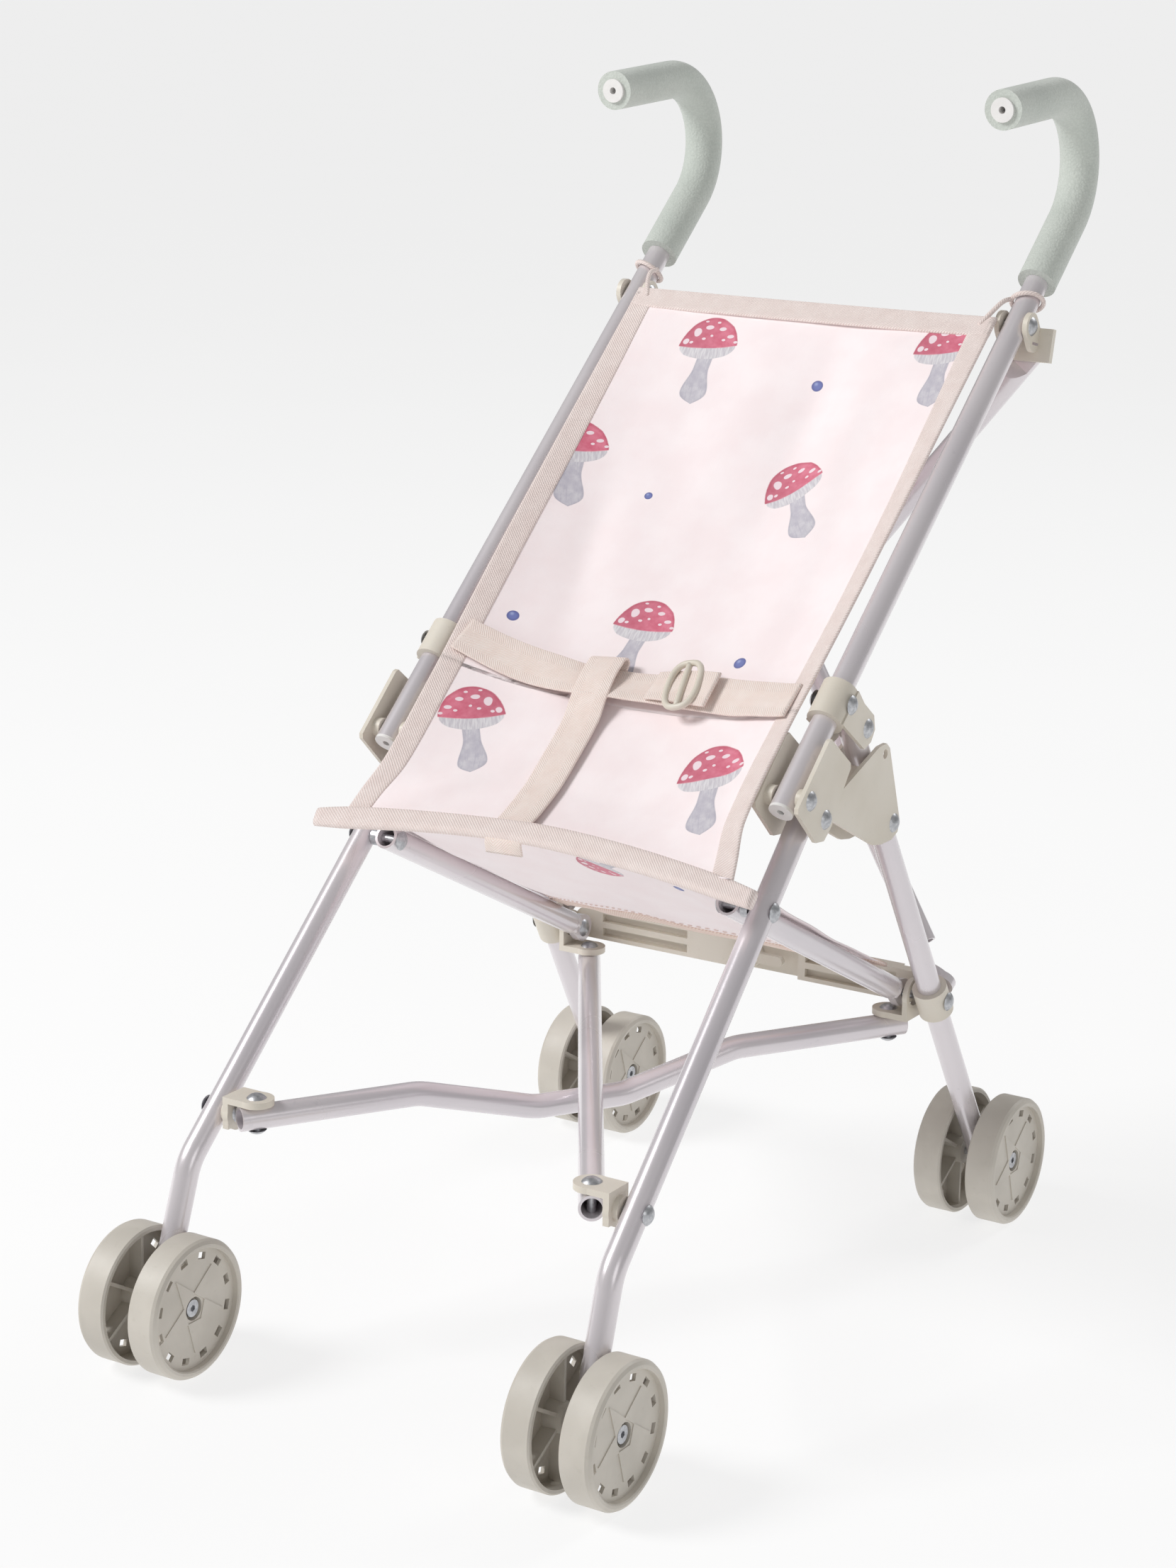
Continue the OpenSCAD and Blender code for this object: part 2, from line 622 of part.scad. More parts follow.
// One wheel with its closed face towards +X and its hollow side towards the leg
module wheel(c, flip) {
    w = wheel_w;
    rim = 2.4;
    face_t = 1.8;
    face_in = 3.2;
    translate(c) mirror([flip ? 1 : 0, 0, 0]) rotate([0, 90, 0]) difference() {
        union() {
            difference() {
                rotate_extrude($fn = 96) polygon([
                    [wheel_r - rim, 0], [wheel_r - 0.8, 0], [wheel_r, 0.8], [wheel_r, w - 2.2],
                    [wheel_r - 0.7, w - 0.9], [wheel_r - 2.2, w], [wheel_r - rim - 1, w],
                    [wheel_r - rim - 1.6, w - 0.6], [wheel_r - rim - 1.6, w - face_in],
                    [0, w - face_in], [0, w - face_in - face_t], [wheel_r - rim, w - face_in - face_t]]);
                for (i = [0 : 11]) rotate([0, 0, i * 30 + 15]) translate([wheel_r * 0.7, -2.4, w - 8])
                    cube([3.2, 4.8, 8]);
            }
            rotate_extrude() polygon([[0, 0.6], [6.6, 0.6], [7.4, w - 6], [7.4, w - face_in],
                [0, w - face_in]]);
            for (i = [0 : 5]) rotate([0, 0, i * 60]) translate([6.5, -0.8, 3])
                cube([wheel_r - rim - 6, 1.6, w - face_in - 3.5]);
            // Raised points of a star on the face
            for (i = [0 : 4]) rotate([0, 0, i * 72]) translate([0, 0, w - face_in])
                linear_extrude(0.5) polygon([[6, -4.6], [wheel_r * 0.66, 0], [6, 4.6]]);
        }
        translate([0, 0, w - 6.5]) cylinder(h = 10, r = 5.4);
        translate([0, 0, -1]) cylinder(h = w + 2, r = axle_d / 2 + run_gap);
    }
}

wheel_off = twin_gap / 2;

module axle(hub) {
    reach = wheel_off + wheel_w - 6.5;
    difference() {
        union() {
            pin_x(hub, axle_d / 2, 2 * reach + 2 * face_gap);
            for (s = [-1, 1]) translate(hub + [s * (reach + face_gap), 0, 0]) rotate([0, s * 90, 0])
                cylinder(h = 2.4, r = 4);
        }
        for (s = [-1, 1]) translate(hub + [s * (reach + face_gap + 2.4), 0, 0])
            rotate([0, 90, 0]) cylinder(h = 3, r = 1.6, center = true, $fn = 6);
    }
}

// ---------- soft parts ----------

back_top = on_handle(276, -8);
seat_front = [-52, 231];
hem_y = 88;
hem_z = 157;
belt_y = 13;
belt_z = 291;

// Line of the sling in the side view, from its top edge to the front of the seat
sling_line = [back_top, on_handle(230, 0), on_handle(170, 6), on_handle(100, 9), on_handle(45, 8),
    on_handle(0, 4), seat_front];

// The same line set back by a distance
function set_back(p, gap) = [for (i = [len(p) - 1 : -1 : 0]) p[i] + gap * below];

module seat_back() {
    side_plate(-back_w / 2, back_w / 2, concat(sling_line, set_back(sling_line, cloth_t)));
}

module seat_base() {
    side_plate(-seat_w / 2, seat_w / 2, [seat_front + [-3.5, -3], seat_front + [4, -3.2],
        [hem_y, hem_z + 4], [hem_y, hem_z + 4 - cloth_t], seat_front + [0, -6.4]]);
    // Front roll
    translate([-roll_w / 2, seat_front[0] - 5, seat_front[1] - 3]) rotate([0, 90, 0])
        cylinder(h = roll_w, r = 4.6);
}

module seat_belt() {
    translate([-back_w / 2 + 1, belt_y, belt_z - belt_w / 2]) cube([back_w - 2, 2, belt_w]);
    // Strap from the belt down to the front of the seat
    side_plate(-belt_w / 2, belt_w / 2, [[belt_y - 1.4, belt_z + 8], [belt_y + 0.6, belt_z + 8],
        seat_front + [-3, 7.4], seat_front + [-5, 6]]);
}

module belt_buckle() {
    translate([26, belt_y - 3.4, belt_z - belt_w / 2 - 3]) difference() {
        cube([20, 3, belt_w + 6]);
        for (k = [3, 11]) translate([k, -1, 3]) cube([5.5, 5, belt_w]);
    }
}

// Cord around each handle tube that holds the top corner of the back
module cord_loop() {
    placed(pt(hx, on_handle(clevis_t + 16, 0)), [1, 0, 0], pt(0, -below), pt(0, along))
        rotate([-12, 14, 0]) rotate_extrude() translate([tube_r + 2.4, 0]) circle(1.4, $fn = 24);
    rod(pt(hx - tube_r - 2.4, on_handle(clevis_t + 14, 0)),
        pt(back_w / 2 - 3, on_handle(274.5, -2.8)), 1.4);
}

// ---------- colours and sides ----------

module left_right(s) {
    mirror([s < 0 ? 1 : 0, 0, 0]) children();
}

module painted() { color([0.86, 0.84, 0.87]) children(); }
module plastic() { color([0.87, 0.84, 0.79]) children(); }
module zinc() { color([0.62, 0.63, 0.65]) children(); }
module foam() { color([0.79, 0.83, 0.80]) children(); }
module cloth() { color([0.97, 0.88, 0.87]) children(); }
module webbing() { color([0.96, 0.86, 0.82]) children(); }
module tyre() { color([0.80, 0.79, 0.75]) children(); }

module both_sides() {
    for (s = [1, -1]) left_right(s) children();
}

module wheel_pair(hub, s, outer) {
    side = outer ? 1 : -1;
    wheel([s * (hub[0] + side * wheel_off), hub[1], hub[2]], s * side < 0);
}

painted() left_right(1) handle();  // handle_left
painted() left_right(-1) handle();  // handle_right
foam() left_right(1) grip();  // grip_left
foam() left_right(-1) grip();  // grip_right
plastic() left_right(1) plugs();  // plugs_left
plastic() left_right(-1) plugs();  // plugs_right
plastic() left_right(1) clamp();  // clamp_left
plastic() left_right(-1) clamp();  // clamp_right
plastic() left_right(1) hinge_plates();  // hinge_plates_left
plastic() left_right(-1) hinge_plates();  // hinge_plates_right
plastic() left_right(1) clevis();  // clevis_left
plastic() left_right(-1) clevis();  // clevis_right
painted() left_right(1) rear_leg();  // rear_leg_left
painted() left_right(-1) rear_leg();  // rear_leg_right
plastic() left_right(1) lock_link();  // lock_link_left
plastic() left_right(-1) lock_link();  // lock_link_right
painted() left_right(1) front_leg();  // front_leg_left
painted() left_right(-1) front_leg();  // front_leg_right
painted() left_right(1) seat_rail();  // seat_rail_left
painted() left_right(-1) seat_rail();  // seat_rail_right
zinc() left_right(1) rail_rivet();  // rail_rivet_left
zinc() left_right(-1) rail_rivet();  // rail_rivet_right
plastic() left_right(1) front_corner();  // front_corner_left
plastic() left_right(-1) front_corner();  // front_corner_right
plastic() left_right(1) rear_corner();  // rear_corner_left
plastic() left_right(-1) rear_corner();  // rear_corner_right
painted() cross_tube(-1, cross_dip);  // cross_tube_low
painted() cross_tube(1, 0);  // cross_tube_high
painted() sway_tube(1, 0);  // sway_tube_front
painted() sway_tube(-1, cross_dip);  // sway_tube_back
plastic() left_right(1) leg_collar();  // leg_collar_left
plastic() left_right(-1) leg_collar();  // leg_collar_right
plastic() crossbar(1);  // crossbar_left
plastic() crossbar(-1);  // crossbar_right
plastic() latch_lever();
zinc() left_right(1) handle_rivets();  // handle_rivets_left
zinc() left_right(-1) handle_rivets();  // handle_rivets_right
zinc() left_right(1) rear_rivets();  // rear_rivets_left
zinc() left_right(-1) rear_rivets();  // rear_rivets_right
zinc() left_right(1) front_rivets();  // front_rivets_left
zinc() left_right(-1) front_rivets();  // front_rivets_right
zinc() cross_rivets(-1);  // cross_rivets_low
zinc() cross_rivets(1);  // cross_rivets_high
zinc() left_right(1) axle(front_hub);  // axle_front_left
zinc() left_right(-1) axle(front_hub);  // axle_front_right
zinc() left_right(1) axle(rear_hub);  // axle_rear_left
zinc() left_right(-1) axle(rear_hub);  // axle_rear_right
tyre() wheel_pair(front_hub, 1, true);  // wheel_front_left_out
tyre() wheel_pair(front_hub, 1, false);  // wheel_front_left_in
tyre() wheel_pair(front_hub, -1, true);  // wheel_front_right_out
tyre() wheel_pair(front_hub, -1, false);  // wheel_front_right_in
tyre() wheel_pair(rear_hub, 1, true);  // wheel_rear_left_out
tyre() wheel_pair(rear_hub, 1, false);  // wheel_rear_left_in
tyre() wheel_pair(rear_hub, -1, true);  // wheel_rear_right_out
tyre() wheel_pair(rear_hub, -1, false);  // wheel_rear_right_in
cloth() seat_back();
cloth() seat_base();
webbing() seat_belt();
plastic() belt_buckle();
webbing() both_sides() cord_loop();  // cord_loops
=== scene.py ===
import math

import bpy
import numpy as np
from mathutils import Matrix, Vector, noise


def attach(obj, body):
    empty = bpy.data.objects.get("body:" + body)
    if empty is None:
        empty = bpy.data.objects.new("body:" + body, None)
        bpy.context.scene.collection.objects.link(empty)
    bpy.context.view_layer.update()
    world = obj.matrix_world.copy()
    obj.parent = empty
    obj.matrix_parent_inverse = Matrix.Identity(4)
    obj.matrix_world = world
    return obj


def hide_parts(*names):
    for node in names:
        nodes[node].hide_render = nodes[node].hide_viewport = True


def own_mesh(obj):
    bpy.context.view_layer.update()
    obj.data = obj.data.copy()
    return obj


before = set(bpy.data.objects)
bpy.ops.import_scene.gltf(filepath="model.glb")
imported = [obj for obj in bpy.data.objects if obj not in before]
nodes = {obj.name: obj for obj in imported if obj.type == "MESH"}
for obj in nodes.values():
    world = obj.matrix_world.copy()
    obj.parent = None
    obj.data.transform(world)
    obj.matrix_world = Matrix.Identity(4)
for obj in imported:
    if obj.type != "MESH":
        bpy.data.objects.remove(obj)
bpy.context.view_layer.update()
scene = bpy.context.scene
MM = 0.001


# ---------------------------------------------------------------- camera and light

def unit(v):
    v = np.asarray(v, float)
    return v / np.linalg.norm(v)


def camera():
    az, el, roll = (math.radians(a) for a in (32.0, 14.82, 0.93))
    back = np.array([math.sin(az) * math.cos(el), -math.cos(az) * math.cos(el), math.sin(el)])
    right = np.array([math.cos(az), math.sin(az), 0.0])
    up = np.cross(back, right)
    r2 = math.cos(roll) * right + math.sin(roll) * up
    u2 = -math.sin(roll) * right + math.cos(roll) * up
    data = bpy.data.cameras.new("camera")
    cam = bpy.data.objects.new("camera", data)
    scene.collection.objects.link(cam)
    m = Matrix.Identity(4)
    for i, col in enumerate((r2, u2, back)):
        for j in range(3):
            m[j][i] = col[j]
    m.translation = Vector((0.7726, -1.2490, 0.6354))
    cam.matrix_world = m
    data.sensor_fit = "HORIZONTAL"
    data.sensor_width = 36.0
    data.lens = 101.47
    data.clip_end = 200
    scene.camera = cam


def area_light(name, loc, target, size, power, color=(1, 1, 1)):
    data = bpy.data.lights.new(name, "AREA")
    data.shape = "DISK"
    data.size = size
    data.energy = power
    data.color = color
    o = bpy.data.objects.new(name, data)
    scene.collection.objects.link(o)
    o.location = loc
    o.rotation_euler = (Vector(target) - Vector(loc)).to_track_quat("-Z", "Y").to_euler()


camera()
scene.view_settings.view_transform = "Standard"
area_light("key", (-1.7, -1.5, 2.1), (0, 0, 0.25), 1.1, 60)
area_light("fill", (2.2, -1.2, 1.1), (0, 0, 0.25), 1.2, 5)
area_light("rim", (0.6, 2.0, 1.8), (0, 0, 0.3), 0.9, 12)
world = bpy.data.worlds.new("studio")
scene.world = world
world.use_nodes = True
world.node_tree.nodes["Background"].inputs[0].default_value = (1.0, 0.998, 0.994, 1)
world.node_tree.nodes["Background"].inputs[1].default_value = 0.34


# ---------------------------------------------------------------- node helpers

class Net:
    """Builds shader nodes from plain expressions."""

    def __init__(self, mat):
        self.t = mat.node_tree
        self.n = self.t.nodes
        self.bsdf = next(x for x in self.n if x.type == "BSDF_PRINCIPLED")

    def link(self, value, socket):
        if isinstance(value, (int, float)):
            socket.default_value = value
        elif isinstance(value, tuple):
            socket.default_value = value if len(value) == len(socket.default_value) else value[:3]
        else:
            self.t.links.new(value, socket)

    def math(self, op, a, b=0.0, c=0.0, clamp=False):
        n = self.n.new("ShaderNodeMath")
        n.operation = op
        n.use_clamp = clamp
        for v, s in zip((a, b, c), n.inputs):
            self.link(v, s)
        return n.outputs[0]

    def add(self, a, b):
        return self.math("ADD", a, b)

    def sub(self, a, b):
        return self.math("SUBTRACT", a, b)

    def mul(self, a, b):
        return self.math("MULTIPLY", a, b)

    def div(self, a, b):
        return self.math("DIVIDE", a, b)

    def ramp01(self, v, lo, hi):
        """0 below lo, 1 above hi, smooth between."""
        n = self.n.new("ShaderNodeMapRange")
        n.interpolation_type = "SMOOTHSTEP"
        self.link(v, n.inputs[0])
        n.inputs[1].default_value = lo
        n.inputs[2].default_value = hi
        return n.outputs[0]

    def mix(self, f, a, b):
        n = self.n.new("ShaderNodeMix")
        n.data_type = "RGBA"
        self.link(f, n.inputs[0])
        self.link(a, n.inputs[6])
        self.link(b, n.inputs[7])
        return n.outputs[2]

    def mixv(self, f, a, b):
        n = self.n.new("ShaderNodeMix")
        n.data_type = "VECTOR"
        self.link(f, n.inputs[0])
        self.link(a, n.inputs[4])
        self.link(b, n.inputs[5])
        return n.outputs[1]

    def coord(self, which="Object"):
        return self.n.new("ShaderNodeTexCoord").outputs[which]

    def split(self, v):
        n = self.n.new("ShaderNodeSeparateXYZ")
        self.link(v, n.inputs[0])
        return n.outputs

    def join(self, x, y, z=0.0):
        n = self.n.new("ShaderNodeCombineXYZ")
        for v, s in zip((x, y, z), n.inputs):
            self.link(v, s)
        return n.outputs[0]

    def noise(self, vec, scale, detail=3.0, rough=0.5):
        n = self.n.new("ShaderNodeTexNoise")
        self.link(vec, n.inputs["Vector"])
        n.inputs["Scale"].default_value = scale
        n.inputs["Detail"].default_value = detail
        n.inputs["Roughness"].default_value = rough
        return n.outputs[0]

    def cells(self, vec, scale, feature="F1"):
        n = self.n.new("ShaderNodeTexVoronoi")
        n.feature = feature
        self.link(vec, n.inputs["Vector"])
        n.inputs["Scale"].default_value = scale
        return n.outputs["Distance"]

    def bump(self, height, strength, distance, normal=None):
        n = self.n.new("ShaderNodeBump")
        n.inputs["Strength"].default_value = strength
        n.inputs["Distance"].default_value = distance
        self.link(height, n.inputs["Height"])
        if normal is not None:
            self.link(normal, n.inputs["Normal"])
        self.t.links.new(n.outputs[0], self.bsdf.inputs["Normal"])
        return n.outputs[0]

    def base(self, v):
        self.link(v, self.bsdf.inputs["Base Color"])

    def set(self, **kw):
        names = {"rough": "Roughness", "metal": "Metallic", "ior": "IOR", "coat": "Coat Weight",
                 "coat_rough": "Coat Roughness", "sheen": "Sheen Weight",
                 "sheen_rough": "Sheen Roughness", "sss": "Subsurface Weight",
                 "spec": "Specular IOR Level"}
        for k, v in kw.items():
            self.link(v, self.bsdf.inputs[names[k]])


def material(name):
    m = bpy.data.materials.new(name)
    m.use_nodes = True
    return m, Net(m)


def rgb(r, g, b):
    """sRGB 0..255 to linear."""
    out = []
    for c in (r, g, b):
        c = c / 255
        out.append(c / 12.92 if c <= 0.04045 else ((c + 0.055) / 1.055) ** 2.4)
    return (*out, 1.0)


# ---------------------------------------------------------------- hard materials

def paint_material():
    m, n = material("pearl_paint")
    p = n.coord()
    tone = n.noise(p, 9.0, 2.0)
    speck = n.noise(p, 900.0, 2.0)
    col = n.mix(n.ramp01(tone, 0.3, 0.7), rgb(216, 210, 215), rgb(226, 220, 223))
    wear = n.ramp01(n.noise(p, 260.0, 4.0), 0.68, 0.74)
    col = n.mix(n.mul(wear, 0.25), col, rgb(196, 192, 198))
    n.base(col)
    n.set(rough=n.add(0.22, n.mul(tone, 0.10)), metal=0.45, coat=0.6, coat_rough=0.12)
    n.bump(n.add(n.mul(n.noise(p, 160.0, 2.0), 0.8), n.mul(speck, 0.2)), 0.12, 0.0004)
    return m


def plastic_material():
    m, n = material("bracket_plastic")
    p = n.coord()
    tone = n.noise(p, 22.0, 3.0)
    col = n.mix(n.ramp01(tone, 0.3, 0.7), rgb(213, 205, 191), rgb(222, 215, 203))
    scuff = n.ramp01(n.noise(p, 420.0, 3.0), 0.64, 0.72)
    col = n.mix(n.mul(scuff, 0.2), col, rgb(198, 190, 176))
    n.base(col)
    n.set(rough=n.add(0.36, n.mul(n.noise(p, 130.0), 0.16)), sss=0.04)
    n.bsdf.inputs["Subsurface Radius"].default_value = (0.004, 0.003, 0.002)
    n.bump(n.add(n.mul(n.noise(p, 1500.0, 2.0), 0.6), n.mul(n.noise(p, 120.0), 0.6)), 0.18, 0.0003)
    return m


def zinc_material():
    m, n = material("rivet_zinc")
    p = n.coord()
    grain = n.noise(p, 700.0, 4.0)
    n.base(n.mix(n.ramp01(grain, 0.3, 0.75), rgb(172, 174, 178), rgb(204, 205, 208)))
    n.set(metal=0.95, rough=n.add(0.26, n.mul(n.noise(p, 260.0), 0.25)))
    n.bump(grain, 0.15, 0.0002)
    return m


def foam_material():
    m, n = material("grip_foam")
    p = n.coord()
    big = n.noise(p, 30.0, 3.0)
    pore = n.cells(p, 820.0)
    fine = n.noise(p, 1600.0, 3.0)
    col = n.mix(n.ramp01(big, 0.25, 0.75), rgb(190, 196, 189), rgb(202, 207, 200))
    col = n.mix(n.mul(n.ramp01(pore, 0.25, 0.7), 0.22), col, rgb(168, 174, 167))
    n.base(col)
    n.set(rough=0.86, sheen=0.25, sheen_rough=0.5)
    h = n.add(n.mul(n.sub(1.0, pore), 0.7), n.mul(fine, 0.5))
    n.bump(n.add(h, n.mul(n.noise(p, 240.0, 3.0), 0.8)), 0.55, 0.0005)
    return m


def wheel_material():
    m, n = material("wheel_plastic")
    p = n.coord()
    tone = n.noise(p, 40.0, 3.0)
    col = n.mix(n.ramp01(tone, 0.3, 0.7), rgb(197, 191, 181), rgb(208, 202, 192))
    dust = n.ramp01(n.noise(p, 300.0, 4.0), 0.6, 0.75)
    col = n.mix(n.mul(dust, 0.2), col, rgb(180, 174, 162))
    n.base(col)
    n.set(rough=n.add(0.42, n.mul(n.noise(p, 110.0), 0.14)), sss=0.03)
    n.bsdf.inputs["Subsurface Radius"].default_value = (0.004, 0.003, 0.002)
    n.bump(n.add(n.noise(p, 900.0, 3.0), n.mul(n.noise(p, 90.0), 0.5)), 0.16, 0.0003)
    return m


def plug_material():
    m, n = material("plug_plastic")
    p = n.coord()
    n.base(n.mix(n.noise(p, 260.0, 3.0), rgb(222, 220, 218), rgb(236, 234, 232)))
    n.set(rough=n.add(0.34, n.mul(n.noise(p, 150.0), 0.14)))
    n.bump(n.noise(p, 1400.0, 2.0), 0.15, 0.0002)
    return m


PAINT, PLASTIC, ZINC = paint_material(), plastic_material(), zinc_material()
PLUG = plug_material()
FOAM, WHEEL = foam_material(), wheel_material()
ZINC_NODES = ("handle_rivets", "rear_rivets", "front_rivets", "cross_rivets", "axle", "rail_rivet")
PAINT_NODES = ("handle_left", "handle_right", "rear_leg", "front_leg", "seat_rail", "cross_tube",
               "sway_tube")

for name, o in nodes.items():
    if name.startswith(ZINC_NODES):
        mat = ZINC
    elif name.startswith(PAINT_NODES):
        mat = PAINT
    elif name.startswith("grip"):
        mat = FOAM
    elif name.startswith("plugs"):
        mat = PLUG
    elif name.startswith("wheel"):
        mat = WHEEL
    else:
        mat = PLASTIC
    o.data.materials.clear()
    o.data.materials.append(mat)


# ---------------------------------------------------------------- floor

def floor():
    m, n = material("floor_paper")
    p = n.coord()
    n.base(n.mix(n.noise(p, 3.0), (0.20, 0.20, 0.20, 1.0), (0.22, 0.22, 0.22, 1.0)))
    n.set(rough=0.9)
    n.bsdf.inputs["Emission Color"].default_value = (1.0, 1.0, 1.0, 1.0)
    n.bsdf.inputs["Emission Strength"].default_value = 0.76
    n.bump(n.noise(p, 60.0), 0.02, 0.001)
    mesh = bpy.data.meshes.new("floor")
    s = 90.0
    mesh.from_pydata([(-s, -s, 0), (s, -s, 0), (s, s, 0), (-s, s, 0)], [], [(0, 1, 2, 3)])
    o = bpy.data.objects.new("floor", mesh)
    scene.collection.objects.link(o)
    mesh.materials.append(m)


floor()


# ---------------------------------------------------------------- frame geometry of the soft parts

LEAN = math.radians(41.2)
ALONG = np.array([0.0, math.cos(LEAN), math.sin(LEAN)])
BELOW = np.array([0.0, math.sin(LEAN), -math.cos(LEAN)])
FOOT = np.array([0.0, -16.4, 260.7])


def on_handle(x, t, v):
    return np.array([x, 0.0, 0.0]) + FOOT + t * ALONG + v * BELOW


def table(x, pts):
    """Smooth value at x from a short list of (x, value)."""
    xs = [p[0] for p in pts]
    ys = [p[1] for p in pts]
    if x <= xs[0]:
        return ys[0]
    if x >= xs[-1]:
        return ys[-1]
    n = len(xs)
    slope = []
    for i in range(n):
        a = max(i - 1, 0)
        b = min(i + 1, n - 1)
        slope.append((ys[b] - ys[a]) / (xs[b] - xs[a]))
    for i in range(n - 1):
        if x <= xs[i + 1]:
            h = xs[i + 1] - xs[i]
            k = (x - xs[i]) / h
            return ((2 * k ** 3 - 3 * k ** 2 + 1) * ys[i] + (k ** 3 - 2 * k ** 2 + k) * h * slope[i]
                    + (-2 * k ** 3 + 3 * k ** 2) * ys[i + 1] + (k ** 3 - k ** 2) * h * slope[i + 1])


HALF = [(-52, 101.5), (-40, 99.0), (-20, 94.6), (30, 94.3), (60, 95.2), (120, 96.6), (276, 98.0)]
EDGE_V = [(-52, -5.0), (-20, -7.5), (60, -8.0), (200, -8.0), (276, -8.0)]
SAG = [(-52, 4.0), (-25, 11.0), (0, 14.0), (45, 17.0), (100, 19.0), (160, 17.0), (220, 10.0),
       (255, 4.0), (276, 0.5)]
T_TOP, T_SPLIT, T_END = 276.0, 40.0, -50.0


def fold(u, t):
    """Soft folds of the back, in mm behind the sling."""
    f = 0.0
    f += 2.6 * math.exp(-((u - 0.18 - 0.0006 * (t - 150)) / 0.13) ** 2) * math.exp(-((t - 205) / 62) ** 2)
    f -= 1.6 * math.exp(-((u - 0.46) / 0.12) ** 2) * math.exp(-((t - 190) / 60) ** 2)
    f -= 1.4 * math.exp(-((u + 0.12) / 0.14) ** 2) * math.exp(-((t - 215) / 48) ** 2)
    f += 1.7 * math.exp(-((u + 0.62 + 0.0016 * (t - 120)) / 0.10) ** 2) * math.exp(-((t - 120) / 42) ** 2)
    f += 1.5 * math.exp(-((u - 0.70) / 0.10) ** 2) * math.exp(-((t - 120) / 60) ** 2)
    f -= 2.4 * math.exp(-((u + 0.60 - 0.012 * (t + 22)) / 0.13) ** 2) * math.exp(-((t + 22) / 20) ** 2)
    f += 2.2 * math.exp(-((u - 0.83 + 0.004 * (t + 5)) / 0.09) ** 2) * math.exp(-((t - 2) / 30) ** 2)
    edge = (1 - min(1.0, abs(u)) ** 6)
    for k, (amp, s) in enumerate(((1.5, 0.012), (0.6, 0.035))):
        f += amp * noise.noise(Vector((u * 98 * s * 1.3, t * s * 0.55, 3.1 + k * 7.7)))
    return f * edge * min(1.0, max(0.0, (276 - t) / 22))


def sling(u, t):
    """Point of the sling, u from -1 to 1 across and t along the handle tube."""
    x = u * table(t, HALF)
    v = table(t, EDGE_V) + table(t, SAG) * (1 - abs(u) ** 2.6) + fold(u, t)
    front = max(0.0, min(1.0, (-15 - t) / 35))
    p = on_handle(x, t, v)
    # The front edge bows up a little at the middle
    p[2] += front * 5.0 * (1 - u * u)
    p[1] += front * 3.0 * (1 - u * u)
    return p


def grid(name, f, us, ts, uvf, mat, thick=0.7, flip=False):
    """A cloth sheet through f(u, t), with its own thickness and a UV map in decimetres."""
    nu, nt = len(us), len(ts)
    P = np.array([[f(u, t) for u in us] for t in ts])
    du = np.gradient(P, axis=1)
    dt = np.gradient(P, axis=0)
    N = np.cross(du, dt)
    N /= np.linalg.norm(N, axis=2, keepdims=True)
    if flip:
        N = -N
    A = (P + N * thick / 2).reshape(-1, 3)
    B = (P - N * thick / 2).reshape(-1, 3)
    uv = np.array([[uvf(u, t) for u in us] for t in ts]).reshape(-1, 2)
    verts = np.vstack([A, B]) * MM
    k = nu * nt
    faces = []
    for j in range(nt - 1):
        for i in range(nu - 1):
            a, b, c, d = j * nu + i, j * nu + i + 1, (j + 1) * nu + i + 1, (j + 1) * nu + i
            faces.append((a, b, c, d))
            faces.append((a + k, d + k, c + k, b + k))
    ring = ([(0, i) for i in range(nu)] + [(j, nu - 1) for j in range(1, nt)]
            + [(nt - 1, i) for i in range(nu - 2, -1, -1)] + [(j, 0) for j in range(nt - 2, 0, -1)])
    ids = [j * nu + i for j, i in ring]
    for a, b in zip(ids, ids[1:] + ids[:1]):
        faces.append((b, a, a + k, b + k))
    if flip:
        faces = [tuple(reversed(q)) for q in faces]
    return build(name, verts, faces, np.vstack([uv, uv]), mat)


def build(name, verts, faces, uv, mat):
    mesh = bpy.data.meshes.new(name)
    mesh.from_pydata([tuple(v) for v in verts], [], faces)
    layer = mesh.uv_layers.new(name="flat")
    for loop in mesh.loops:
        layer.data[loop.index].uv = uv[loop.vertex_index]
    mesh.materials.append(mat)
    mesh.shade_smooth()
    mesh.validate()
    o = bpy.data.objects.new(name, mesh)
    scene.collection.objects.link(o)
    return o


